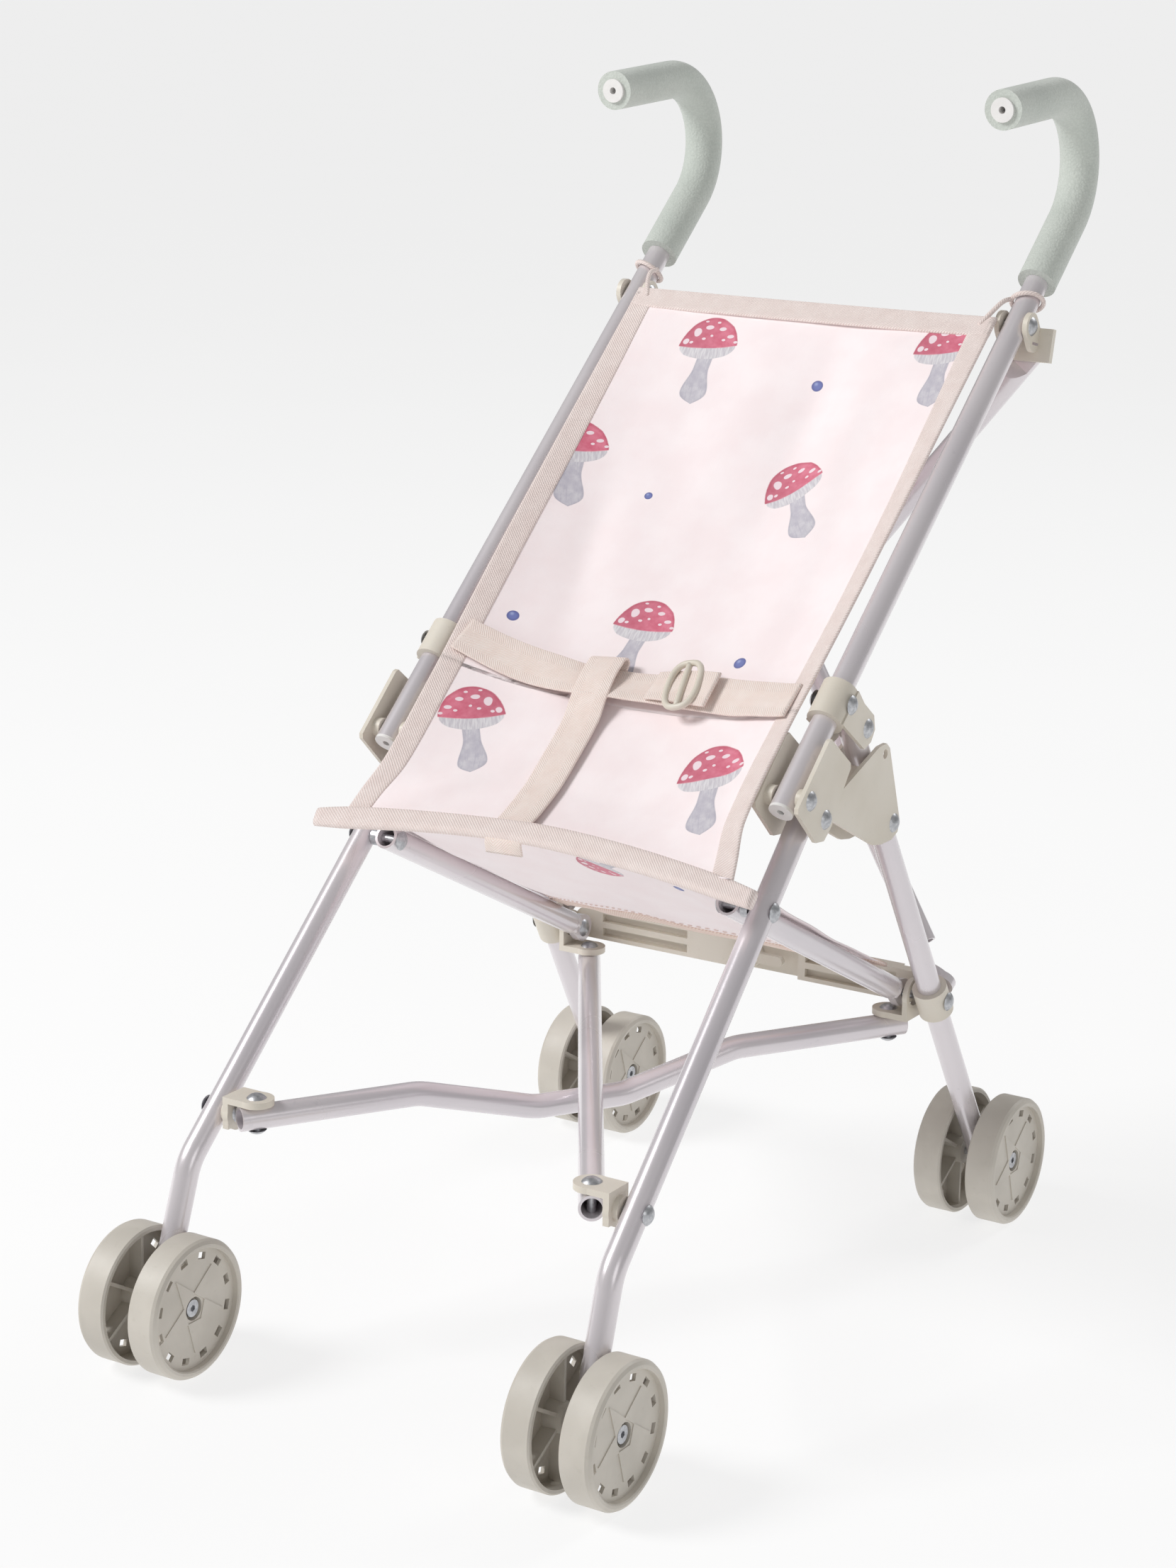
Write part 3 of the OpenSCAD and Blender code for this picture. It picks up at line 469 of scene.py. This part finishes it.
def band(name, centre, side, normal, width, thick, mat, closed=False, roundness=0.5, v0=0.0):
    """A flat woven band along points, rounded at its edges; UV is length and width in dm."""
    C = np.array(centre, float)
    S = np.array([unit(s) for s in side])
    N = np.array([unit(n) for n in normal])
    W = np.broadcast_to(np.asarray(width, float), (len(C),))
    shape = []
    r = min(roundness, 0.5)
    for k in range(7):
        a = math.pi * (k / 6 - 0.5)
        shape.append((0.5, 1, math.cos(a) * r, math.sin(a) / 2))
    for k in range(7):
        a = math.pi * (k / 6 + 0.5)
        shape.append((-0.5, -1, math.cos(a) * r, math.sin(a) / 2))
    mids = [(-0.3, 0, 0, -0.5), (-0.1, 0, 0, -0.5), (0.1, 0, 0, -0.5), (0.3, 0, 0, -0.5)]
    mids2 = [(0.3, 0, 0, 0.5), (0.1, 0, 0, 0.5), (-0.1, 0, 0, 0.5), (-0.3, 0, 0, 0.5)]
    prof = mids + shape[:7] + mids2 + shape[7:]
    m = len(prof)
    verts, uvs = [], []
    run = 0.0
    for i in range(len(C)):
        if i:
            run += np.linalg.norm(C[i] - C[i - 1])
        for w, _, cr, h in prof:
            off = w * (W[i] - thick)
            verts.append(C[i] + S[i] * (off + cr * thick) + N[i] * h * thick)
            uvs.append((run / 100, v0 + (off + cr * thick) / 100))
    faces = []
    n = len(C)
    for i in range(n if closed else n - 1):
        j = (i + 1) % n
        for k in range(m):
            l = (k + 1) % m
            faces.append((i * m + k, i * m + l, j * m + l, j * m + k))
    if not closed:
        faces.append(tuple(range(m - 1, -1, -1)))
        faces.append(tuple((n - 1) * m + k for k in range(m)))
    return build(name, np.array(verts) * MM, faces, np.array(uvs), mat)


# ---------------------------------------------------------------- cloth materials

def cloth_base(n, uv):
    """Plain weave of the sling and its base colour."""
    x, y, _ = n.split(uv)
    wx = n.math("SINE", n.mul(x, 2 * math.pi * 260))
    wy = n.math("SINE", n.mul(y, 2 * math.pi * 260))
    weave = n.mul(wx, wy)
    blot = n.noise(uv, 4.0, 4.0)
    slub = n.noise(n.join(n.mul(x, 60.0), n.mul(y, 3.0)), 6.0, 3.0)
    col = n.mix(n.ramp01(blot, 0.3, 0.7), rgb(248, 234, 235), rgb(251, 240, 241))
    col = n.mix(n.mul(n.ramp01(slub, 0.5, 0.8), 0.3), col, rgb(243, 227, 229))
    return x, y, weave, slub, col


def print_material(name, motifs, berries):
    m, n = material(name)
    n.n.new("ShaderNodeUVMap").uv_map = "flat"
    uv = n.n[-1].outputs[0]
    x, y, weave, slub, col = cloth_base(n, uv)
    far = (9.0, 9.0, 0.0)
    loc = far
    for cx, cy, ang, s, flipx in motifs:
        mp = n.n.new("ShaderNodeMapping")
        mp.vector_type = "TEXTURE"
        n.link(uv, mp.inputs[0])
        mp.inputs["Location"].default_value = (cx / 100, cy / 100, 0)
        mp.inputs["Rotation"].default_value = (0, 0, math.radians(ang))
        mp.inputs["Scale"].default_value = (s / 100 * flipx, s / 100, 1)
        dist = n.n.new("ShaderNodeVectorMath")
        dist.operation = "LENGTH"
        n.link(mp.outputs[0], dist.inputs[0])
        inside = n.math("LESS_THAN", dist.outputs["Value"], 1.25)
        loc = n.mixv(inside, loc, mp.outputs[0])
    # Local frame: x across, y up, the cap's base at y 0.25, the foot near y -1
    a, b, _ = n.split(loc)
    wob = n.mul(n.sub(n.noise(loc, 3.0, 2.0), 0.5), 0.10)
    a2 = n.add(a, wob)
    up = n.sub(b, 0.16)
    # Cap: half an ellipse with a slightly hollow underside
    under = n.add(0.16, n.mul(n.mul(a2, a2), 0.16))
    dome_r = n.math("SQRT", n.add(n.mul(n.div(a2, 0.56), n.div(a2, 0.56)),
                                  n.mul(n.div(up, 0.66), n.div(up, 0.66))))
    cap = n.mul(n.sub(1.0, n.ramp01(dome_r, 0.965, 1.0)), n.ramp01(n.sub(b, under), -0.015, 0.015))
    # Gills: the lower lip of the cap
    lip_y = n.div(n.sub(b, 0.17), 0.24)
    lip_r = n.math("SQRT", n.add(n.mul(n.div(a2, 0.54), n.div(a2, 0.54)), n.mul(lip_y, lip_y)))
    gills = n.mul(n.sub(1.0, n.ramp01(lip_r, 0.955, 1.0)), n.math("LESS_THAN", b, under))
    # Stem: narrow under the cap, swollen at its foot, with a slight bend
    mid = n.mul(n.math("SINE", n.mul(n.add(b, 0.1), 2.4)), 0.05)
    sw = n.math("ABSOLUTE", n.sub(a, mid))
    foot = n.ramp01(n.mul(b, -1.0), 0.25, 0.75)
    half = n.add(0.155, n.mul(foot, 0.105))
    low = n.ramp01(n.mul(b, -1.0), 0.70, 1.0)
    half = n.mul(half, n.math("SQRT", n.sub(1.0, n.mul(n.mul(low, low), 0.995))))
    stem = n.mul(n.sub(1.0, n.ramp01(n.sub(sw, half), -0.02, 0.0)), n.math("LESS_THAN", b, 0.2))
    stem = n.mul(stem, n.math("GREATER_THAN", b, -1.0))
    wash = n.noise(loc, 5.0, 5.0, 0.6)
    streak = n.noise(n.join(n.mul(a, 30.0), n.mul(b, 4.0)), 1.0, 4.0)
    stem_col = n.mix(n.ramp01(wash, 0.3, 0.7), rgb(182, 178, 190), rgb(205, 202, 208))
    stem_col = n.mix(n.mul(n.ramp01(streak, 0.5, 0.7), 0.5), stem_col, rgb(168, 165, 180))
    stem_col = n.mix(n.mul(n.ramp01(n.sub(sw, half), -0.07, -0.0), 0.55), stem_col, rgb(160, 157, 172))
    gill_col = n.mix(n.ramp01(streak, 0.35, 0.65), rgb(196, 191, 198), rgb(222, 219, 222))
    cap_col = n.mix(n.ramp01(wash, 0.3, 0.7), rgb(206, 88, 116), rgb(222, 124, 146))
    shade = n.ramp01(n.sub(a2, n.mul(b, 0.2)), -0.5, 0.3)
    cap_col = n.mix(n.mul(n.sub(1.0, shade), 0.45), cap_col, rgb(176, 84, 104))
    edge = n.ramp01(dome_r, 0.86, 0.97)
    cap_col = n.mix(n.mul(edge, 0.45), cap_col, rgb(178, 62, 88))
    spots = None
    for sx, sy, sr, st in ((-0.44, 0.31, 0.05, 1.3), (-0.27, 0.50, 0.066, 1.5), (-0.33, 0.29, 0.03, 1.0),
                           (-0.05, 0.60, 0.072, 0.7), (0.10, 0.70, 0.03, 0.8), (0.20, 0.56, 0.055, 0.8),
                           (0.38, 0.40, 0.058, 0.7), (0.50, 0.28, 0.036, 0.8), (-0.12, 0.36, 0.028, 1.0),
                           (0.03, 0.42, 0.026, 1.0), (0.27, 0.33, 0.03, 0.9), (-0.14, 0.73, 0.03, 0.7)):
        d = n.math("SQRT", n.add(n.math("POWER", n.div(n.sub(a2, sx), 1.25), 2.0),
                                 n.math("POWER", n.div(n.sub(b, sy), st), 2.0)))
        one = n.sub(1.0, n.ramp01(d, sr * 0.82, sr))
        spots = one if spots is None else n.math("MAXIMUM", spots, one)
    cap_col = n.mix(n.mul(spots, 0.92), cap_col, rgb(240, 224, 230))
    col = n.mix(n.mul(stem, 0.95), col, stem_col)
    col = n.mix(n.mul(gills, 0.97), col, gill_col)
    col = n.mix(n.mul(cap, 0.97), col, cap_col)
    for cx, cy, r in berries:
        p = n.join(n.sub(x, cx / 100), n.sub(y, cy / 100))
        dist = n.n.new("ShaderNodeVectorMath")
        dist.operation = "LENGTH"
        n.link(p, dist.inputs[0])
        d = n.div(dist.outputs["Value"], r / 100)
        q = n.join(n.sub(x, (cx - r * 0.3) / 100), n.sub(y, (cy + r * 0.3) / 100))
        hi = n.n.new("ShaderNodeVectorMath")
        hi.operation = "LENGTH"
        n.link(q, hi.inputs[0])
        glow = n.sub(1.0, n.ramp01(n.div(hi.outputs["Value"], r / 100), 0.0, 0.5))
        bc = n.mix(n.ramp01(d, 0.4, 1.0), rgb(98, 112, 178), rgb(72, 82, 148))
        bc = n.mix(n.mul(glow, 0.6), bc, rgb(176, 190, 226))
        col = n.mix(n.mul(n.sub(1.0, n.ramp01(d, 0.88, 1.0)), 0.95), col, bc)
    n.base(col)
    n.set(rough=0.58, sheen=0.22, sheen_rough=0.35, sss=0.03)
    n.bsdf.inputs["Subsurface Radius"].default_value = (0.003, 0.0022, 0.002)
    n.bump(n.add(n.mul(weave, 0.5), n.mul(slub, 0.5)), 0.16, 0.0002)
    return m


def twill_material(name, light, dark, herring=0.0, pitch=1.35, slant=1.0):
    """Woven tape. The ribs run diagonally and turn about at the middle when herring is set."""
    m, n = material(name)
    n.n.new("ShaderNodeUVMap").uv_map = "flat"
    uv = n.n[-1].outputs[0]
    x, y, _ = n.split(uv)
    if herring:
        # The slope of the ribs turns about once every herring millimetres of width
        tri = n.math("PINGPONG", n.add(y, 5.0), herring / 100)
        diag = n.add(x, n.mul(tri, slant))
    else:
        diag = n.add(x, n.mul(y, slant))
    wob = n.mul(n.noise(uv, 40.0, 2.0), 0.0045)
    ph = n.mul(n.add(diag, wob), 2 * math.pi * 100 / pitch)
    rib = n.math("SINE", ph)
    thread = n.math("SINE", n.mul(n.sub(x, y), 2 * math.pi * 380))
    h = n.add(n.mul(rib, 0.7), n.mul(thread, 0.25))
    blot = n.noise(uv, 12.0, 4.0)
    col = n.mix(n.ramp01(n.add(n.mul(rib, 0.35), blot), 0.2, 0.9), dark, light)
    fuzz = n.noise(uv, 160.0, 3.0)
    col = n.mix(n.mul(n.ramp01(fuzz, 0.5, 0.8), 0.25), col, light)
    n.base(col)
    n.set(rough=0.82, sheen=0.25, sheen_rough=0.5)
    n.bump(n.add(h, n.mul(fuzz, 0.3)), 0.55, 0.0003)
    return m


TAPE = twill_material("edge_tape", rgb(254, 241, 236), rgb(240, 221, 215), pitch=1.5, slant=1.0)
# Hem tape colours are painted shade: the same tape as the edge tape, made darker and more orange to stand
# for the warm shade under the seat.
SHADED_HEM_TAPE = twill_material("hem_tape", rgb(252, 231, 218), rgb(236, 206, 192), pitch=1.7, slant=-0.8)
BELT = twill_material("belt_webbing", rgb(255, 243, 236), rgb(246, 224, 214), herring=9.0, pitch=1.25,
                      slant=0.9)

# Motifs of the sling: place across and along in mm, turn, size, mirrored or not
SLING_MOTIFS = [(-46.0, 242.0, 8.0, 28.0, 1), (81.0, 250.0, 10.0, 28.0, 1),
                (-86.0, 169.0, 18.0, 28.0, 1), (33.5, 169.5, 35.0, 28.0, 1),
                (-12.5, 79.0, 3.0, 28.0, 1), (-66.5, 9.0, 24.0, 28.0, -1),
                (66.0, -1.0, 20.0, 30.0, 1)]
SLING_BERRIES = [(18.5, 234.0, 3.1), (-43.0, 159.0, 2.2), (-76.0, 74.0, 3.1), (47.0, 71.0, 3.3)]
SLING = print_material("sling_print", SLING_MOTIFS, SLING_BERRIES)
BASE = print_material("base_print", [(28.0, 12.0, 50.0, 21.0, 1)], [(62.0, 20.0, 2.6)])


# ---------------------------------------------------------------- sling

def flat_uv(u, t):
    return (u * table(t, HALF) / 100, t / 100)


US = list(np.linspace(-1, 1, 97))
upper = grid("sling_upper", sling, US, list(np.linspace(T_SPLIT - 2, T_TOP, 119)), flat_uv, SLING)
lower = grid("sling_lower", sling, US, list(np.linspace(T_END, T_SPLIT, 46)), flat_uv, SLING)


def edge_path(s, ts):
    """Centre, side and normal of the edge tape on side s."""
    C, S, N = [], [], []
    for t in ts:
        a = sling(s, t)
        b = sling(s * 0.94, t)
        S.append(unit(b - a))
        ahead = sling(s, t + 1) - sling(s, t - 1)
        N.append(np.cross(unit(ahead), unit(b - a)) * -s)
        C.append(a + unit(b - a) * 4.4)
    return C, S, N


tapes_up, tapes_low = [], []
for s, side in ((1, "left"), (-1, "right")):
    for part, ts in (("upper", np.linspace(T_SPLIT, T_TOP - 1, 80)),
                     ("lower", np.linspace(T_END - 2, T_SPLIT, 34))):
        C, S, N = edge_path(s, ts)
        o = band(f"edge_tape_{part}_{side}", C, S, N, 11.5, 2.0, TAPE)
        (tapes_up if part == "upper" else tapes_low).append(o)

C, S, N = [], [], []
for u in np.linspace(-1.01, 1.01, 60):
    a = sling(max(-1, min(1, u)), T_TOP)
    a = a + np.array([(u - max(-1, min(1, u))) * 98, 0, 0])
    C.append(a - ALONG * 3.6)
    S.append(-ALONG)
    N.append(-BELOW)
top_tape = band("edge_tape_top", C, S, N, 12.5, 2.0, TAPE)
tapes_up.append(top_tape)


def stitches(name, path, normal, mat, gap=2.6, length=1.7, r=0.22):
    """A row of small raised thread stitches along a path in mm."""
    P = np.array(path)
    d = np.linalg.norm(np.diff(P, axis=0), axis=1)
    run = np.concatenate([[0], np.cumsum(d)])
    verts, faces = [], []
    s = gap / 2
    while s + length < run[-1]:
        ends = []
        for q in (s, s + length):
            k = min(np.searchsorted(run, q, side="right") - 1, len(P) - 2)
            f = (q - run[k]) / d[k]
            ends.append((P[k] * (1 - f) + P[k + 1] * f, normal[k]))
        a, b = ends[0][0], ends[1][0]
        nn = unit(ends[0][1])
        ax = unit(b - a)
        sd = np.cross(ax, nn)
        rings = []
        for f, w in ((0.0, 0.35), (0.15, 0.9), (0.5, 1.15), (0.85, 0.9), (1.0, 0.35)):
            c = a + (b - a) * f + nn * r * 0.6 * w
            ring = []
            for k in range(6):
                g = 2 * math.pi * k / 6
                verts.append(c + (sd * math.cos(g) + nn * math.sin(g)) * r * w)
                ring.append(len(verts) - 1)
            rings.append(ring)
        for p, q in zip(rings, rings[1:]):
            for k in range(6):
                faces.append((p[k], p[(k + 1) % 6], q[(k + 1) % 6], q[k]))
        faces.append(tuple(reversed(rings[0])))
        faces.append(tuple(rings[-1]))
        s += gap
    uv = np.zeros((len(verts), 2))
    return build(name, np.array(verts) * MM, faces, uv, mat)


def thread_material():
    m, n = material("sewing_thread")
    p = n.coord()
    n.base(n.mix(n.noise(p, 900.0), rgb(226, 202, 192), rgb(244, 226, 218)))
    n.set(rough=0.7)
    n.bump(n.noise(p, 2600.0), 0.3, 0.0001)
    return m


THREAD = thread_material()
for s, side in ((1, "left"), (-1, "right")):
    for part, ts, tape in (("upper", np.linspace(T_SPLIT + 1, T_TOP - 8, 90), tapes_up),
                           ("lower", np.linspace(T_END + 3, T_SPLIT - 1, 40), tapes_low)):
        C, S, N = edge_path(s, ts)
        o = stitches(f"edge_stitch_{part}_{side}", [c + sd * 4.2 + nn * 1.0 for c, sd, nn in zip(C, S, N)],
                     N, THREAD)
        tape.append(o)


# ---------------------------------------------------------------- front roll and seat base

def roll_line(x):
    k = abs(x) / 115.6
    y = -54.5 - 8.5 * k ** 2.0
    z = 236.0 - 8.0 * k ** 1.6
    return np.array([x, y, z])


C, S, N = [], [], []
for x in np.linspace(-115.6, 115.6, 90):
    p = roll_line(x)
    tip = max(0.0, (abs(x) - 100) / 15.6)
    C.append(p + np.array([0, 0, -1.0]))
    a = math.radians(38 + 6 * math.sin(x / 23.0) + 14 * tip)
    S.append(np.array([0, math.cos(a), math.sin(a)]))
    N.append(np.array([0, -math.sin(a), math.cos(a)]))
roll = band("front_roll", C, S, N, [11.5 - 2.5 * max(0, (abs(c[0]) - 100) / 15.6) for c in C], 5.0, TAPE)
tapes_low.append(roll)


def hem_line(u):
    k = abs(u)
    return np.array([u * 92.0, 54.0 + 58.0 * k ** 1.7, 167.5 - 20.0 * k ** 1.5])


def base_sheet(u, k):
    """Underside of the seat, k from 0 at the front roll to 1 at the rear hem."""
    a = roll_line(u * 101.0) + np.array([0, 1.5, -4.5])
    b = hem_line(u)
    p = a * (1 - k) + b * k
    e = abs(u) ** 4
    p[2] -= 3.0 * math.sin(math.pi * k) * (1 - e)
    # The side edges lie over the seat rails
    y = p[1]
    rail = 214.5 - 0.5116 * (y + 38.0) + 8.0
    lift = max(0.0, rail - p[2]) * max(0.0, min(1.0, (abs(p[0]) - 72) / 12))
    p[2] += lift
    p[2] += 1.2 * noise.noise(Vector((p[0] * 0.03, p[1] * 0.03, 9.2)))
    return p


def base_uv(u, k):
    return (u * 1.0, k * 1.25)


base = grid("seat_base_sheet", base_sheet, list(np.linspace(-1, 1, 73)), list(np.linspace(0, 1, 45)),
            base_uv, BASE, flip=True)
C, S, N = [], [], []
for u in np.linspace(-1, 1, 70):
    h = base_sheet(u, 1.0)
    b = base_sheet(u, 0.94)
    S.append(unit(b - h))
    ahead = base_sheet(min(1, u + 0.01), 1.0) - base_sheet(max(-1, u - 0.01), 1.0)
    N.append(np.cross(unit(ahead), unit(b - h)))
    C.append(h + unit(b - h) * 5.5)
# The hem tape's material carries painted shade: darker and more orange than the edge tape.
hem = band("rear_hem_tape", C, S, N, 15.0, 2.0, SHADED_HEM_TAPE)
stitch_path = [base_sheet(u, 0.83) for u in np.linspace(-0.97, 0.97, 90)]
dash = stitches("base_stitch", [p + np.array([0, 0.3, -0.9]) for p in stitch_path],
                [np.array([0, -0.5, -0.86])] * 90, THREAD, gap=4.2, length=2.4, r=0.3)

# ---------------------------------------------------------------- belt, strap and buckle


def smooth_path(pts, count):
    P = np.array(pts, float)
    d = np.concatenate([[0], np.cumsum(np.linalg.norm(np.diff(P, axis=0), axis=1))])
    out = []
    for s in np.linspace(0, d[-1], count):
        out.append([table(s, list(zip(d, P[:, i]))) for i in range(3)])
    return np.array(out)


def frame_along(path, across):
    """Side and normal of a band whose width keeps near the direction across."""
    S, N = [], []
    for i in range(len(path)):
        t = unit(path[min(i + 1, len(path) - 1)] - path[max(i - 1, 0)])
        a = np.asarray(across[i] if len(np.shape(across)) > 1 else across, float)
        s = unit(a - t * np.dot(a, t))
        S.append(s)
        N.append(np.cross(s, t))
    return S, N


def on_sling(x, t, lift):
    """Point lifted off the sling's front face, and that face's outward normal."""
    w = table(t, HALF)
    u = max(-1.0, min(1.0, x / w))
    p = sling(u, t)
    du = sling(min(1, u + 0.01), t) - sling(max(-1, u - 0.01), t)
    dt = sling(u, t + 1) - sling(u, t - 1)
    out = unit(np.cross(du, dt))
    if out[1] > 0:
        out = -out
    return p + out * lift, out


BELT_LINE = [(-92, 54), (-60, 49), (-25, 46.5), (0, 47.5), (32, 48.5), (60, 47), (92, 45)]
BELT_LIFT = [(-92, 2.2), (-60, 3.6), (-25, 5.0), (0, 5.2), (32, 5.4), (70, 4.0), (92, 2.2)]
BELT_TURN = [(-92, 4), (-50, -6), (-20, 12), (10, 10), (45, -5), (92, 3)]


def belt_frame(count):
    C, S, N = [], [], []
    for x in np.linspace(-92, 92, count):
        t = table(x, BELT_LINE)
        c, out = on_sling(x, t, table(x, BELT_LIFT))
        ahead = on_sling(x + 1, table(x + 1, BELT_LINE), table(x, BELT_LIFT))[0] - c
        side = unit(np.cross(unit(ahead), out))
        turn = math.radians(table(x, BELT_TURN))
        side, out = (side * math.cos(turn) + out * math.sin(turn),
                     out * math.cos(turn) - side * math.sin(turn))
        C.append(c)
        S.append(-side)
        N.append(out)
    return np.array(C), S, N


belt_path, belt_side, belt_out = belt_frame(110)
belt = band("lap_belt", belt_path, belt_side, belt_out, 19.5, 1.4, BELT)

# The loose end of the belt lies over it from the slide towards the right side
TAIL = range(62, 84)
tail_path = [belt_path[i] + belt_out[i] * (1.9 + 2.6 * math.sin(math.pi * (i - 62) / 44.0)) for i in TAIL]
fold_tail = band("lap_belt_tail", tail_path, [belt_side[i] for i in TAIL],
                 [belt_out[i] for i in TAIL], 19.0, 1.4, BELT)

STRAP_X = [(-52, -15.0), (0, -15.5), (60, -16.5)]
strap_points = []
for t in np.linspace(-50, 58, 60):
    lift = table(t, [(-50, 3.4), (-38, 2.6), (0, 2.4), (25, 3.2), (36, 6.6), (48, 8.6), (58, 7.8)])
    strap_points.append(on_sling(table(t, STRAP_X), t, lift))
top_point, top_out = strap_points[-1]
over = [(top_point + ALONG * 2.2 - top_out * 1.6, top_out),
        (top_point + ALONG * 2.4 - top_out * 4.0, top_out),
        (top_point - ALONG * 1.0 - top_out * 5.6, top_out)]
under = [(strap_points[0][0] + np.array([0, -5.5, -5.5]), strap_points[0][1]),
         (strap_points[0][0] + np.array([0, -4.5, -12.0]), strap_points[0][1])]
strap_path = smooth_path([p for p, _ in under[::-1]] + [p for p, _ in strap_points]
                         + [p for p, _ in over], 110)
S, N = frame_along(strap_path, (1.0, 0.05, 0.08))
strap = band("crotch_strap", strap_path, S, N, 19.0, 1.4, BELT)


def tube(name, path, r, mat, closed=False, seg=12):
    P = np.array(path, float)
    n = len(P)
    verts, faces, uv = [], [], []
    ref = None
    run = 0.0
    for i in range(n):
        a = P[(i - 1) % n] if closed or i else P[0]
        b = P[(i + 1) % n] if closed or i < n - 1 else P[-1]
        t = unit(b - a)
        if ref is None:
            ref = unit(np.cross(t, [0.3, 0.5, 0.8]))
        ref = unit(ref - t * np.dot(ref, t))
        bi = np.cross(t, ref)
        rr = r[i] if hasattr(r, "__len__") else r
        if i:
            run += np.linalg.norm(P[i] - P[i - 1])
        for k in range(seg):
            g = 2 * math.pi * k / seg
            verts.append(P[i] + (ref * math.cos(g) + bi * math.sin(g)) * rr)
            uv.append((run / 100, g * rr / 100))
    for i in range(n if closed else n - 1):
        j = (i + 1) % n
        for k in range(seg):
            l = (k + 1) % seg
            faces.append((i * seg + k, i * seg + l, j * seg + l, j * seg + k))
    if not closed:
        faces.append(tuple(range(seg - 1, -1, -1)))
        faces.append(tuple((n - 1) * seg + k for k in range(seg)))
    return build(name, np.array(verts) * MM, faces, np.array(uv), mat)


def buckle():
    """A slide: an oval ring of round rod with one bar across it."""
    i = 73
    c = belt_path[i] + belt_out[i] * 2.0
    t = unit(belt_path[i + 1] - belt_path[i - 1])
    up = unit(belt_side[i] * -1.0 + t * 0.20)
    if up[2] < 0:
        up = -up
    t = unit(t - up * np.dot(t, up))
    out = belt_out[i]
    ring = []
    for k in range(48):
        g = 2 * math.pi * k / 48
        cx, cy = math.cos(g), math.sin(g)
        e = 2.6
        px = math.copysign(abs(cx) ** (2 / e), cx) * 8.2
        py = math.copysign(abs(cy) ** (2 / e), cy) * 13.2
        ring.append(c + t * px + up * py + out * (3.0 + 0.6 * cx))
    bar = [c + up * q + out * 3.0 for q in np.linspace(-12.5, 12.5, 14)]
    return [tube("belt_slide_ring", ring, 1.55, PLASTIC, closed=True),
            tube("belt_slide_bar", bar, 1.5, PLASTIC)]


slide = buckle()


# ---------------------------------------------------------------- corner cords

def loops():
    made = []
    for s, side in ((1, "left"), (-1, "right")):
        c = on_handle(s * 105.5, 297, 0)
        ring = []
        for k in range(40):
            g = 2 * math.pi * k / 40
            rr = 7.3
            q = (np.array([math.cos(g) * s, 0, 0]) * rr - BELOW * math.sin(g) * rr
                 + ALONG * (2.2 * math.cos(g + 0.4)))
            ring.append(c + q)
        made.append(tube(f"corner_cord_{side}", ring, 1.15, TAPE, closed=True, seg=10))
        tail = smooth_path([on_handle(s * 99.0, 296.0, -3.0), on_handle(s * 98.0, 289.0, -8.0),
                            on_handle(s * 95.5, 281.0, -9.0), on_handle(s * 92.0, 273.0, -8.4)], 16)
        made.append(tube(f"corner_cord_tail_{side}", tail, 1.15, TAPE, seg=10))
    return made


cords = loops()

# ---------------------------------------------------------------- bodies

for o in [upper, belt, fold_tail] + tapes_up + slide + cords:
    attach(o, "seat")
    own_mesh(o)
for o in [lower, base, hem, dash, strap] + tapes_low:
    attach(o, "seat_rail_left")
    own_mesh(o)

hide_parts("seat_back")
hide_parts("seat_base")
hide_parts("seat_belt")
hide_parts("belt_buckle")
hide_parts("cord_loops")
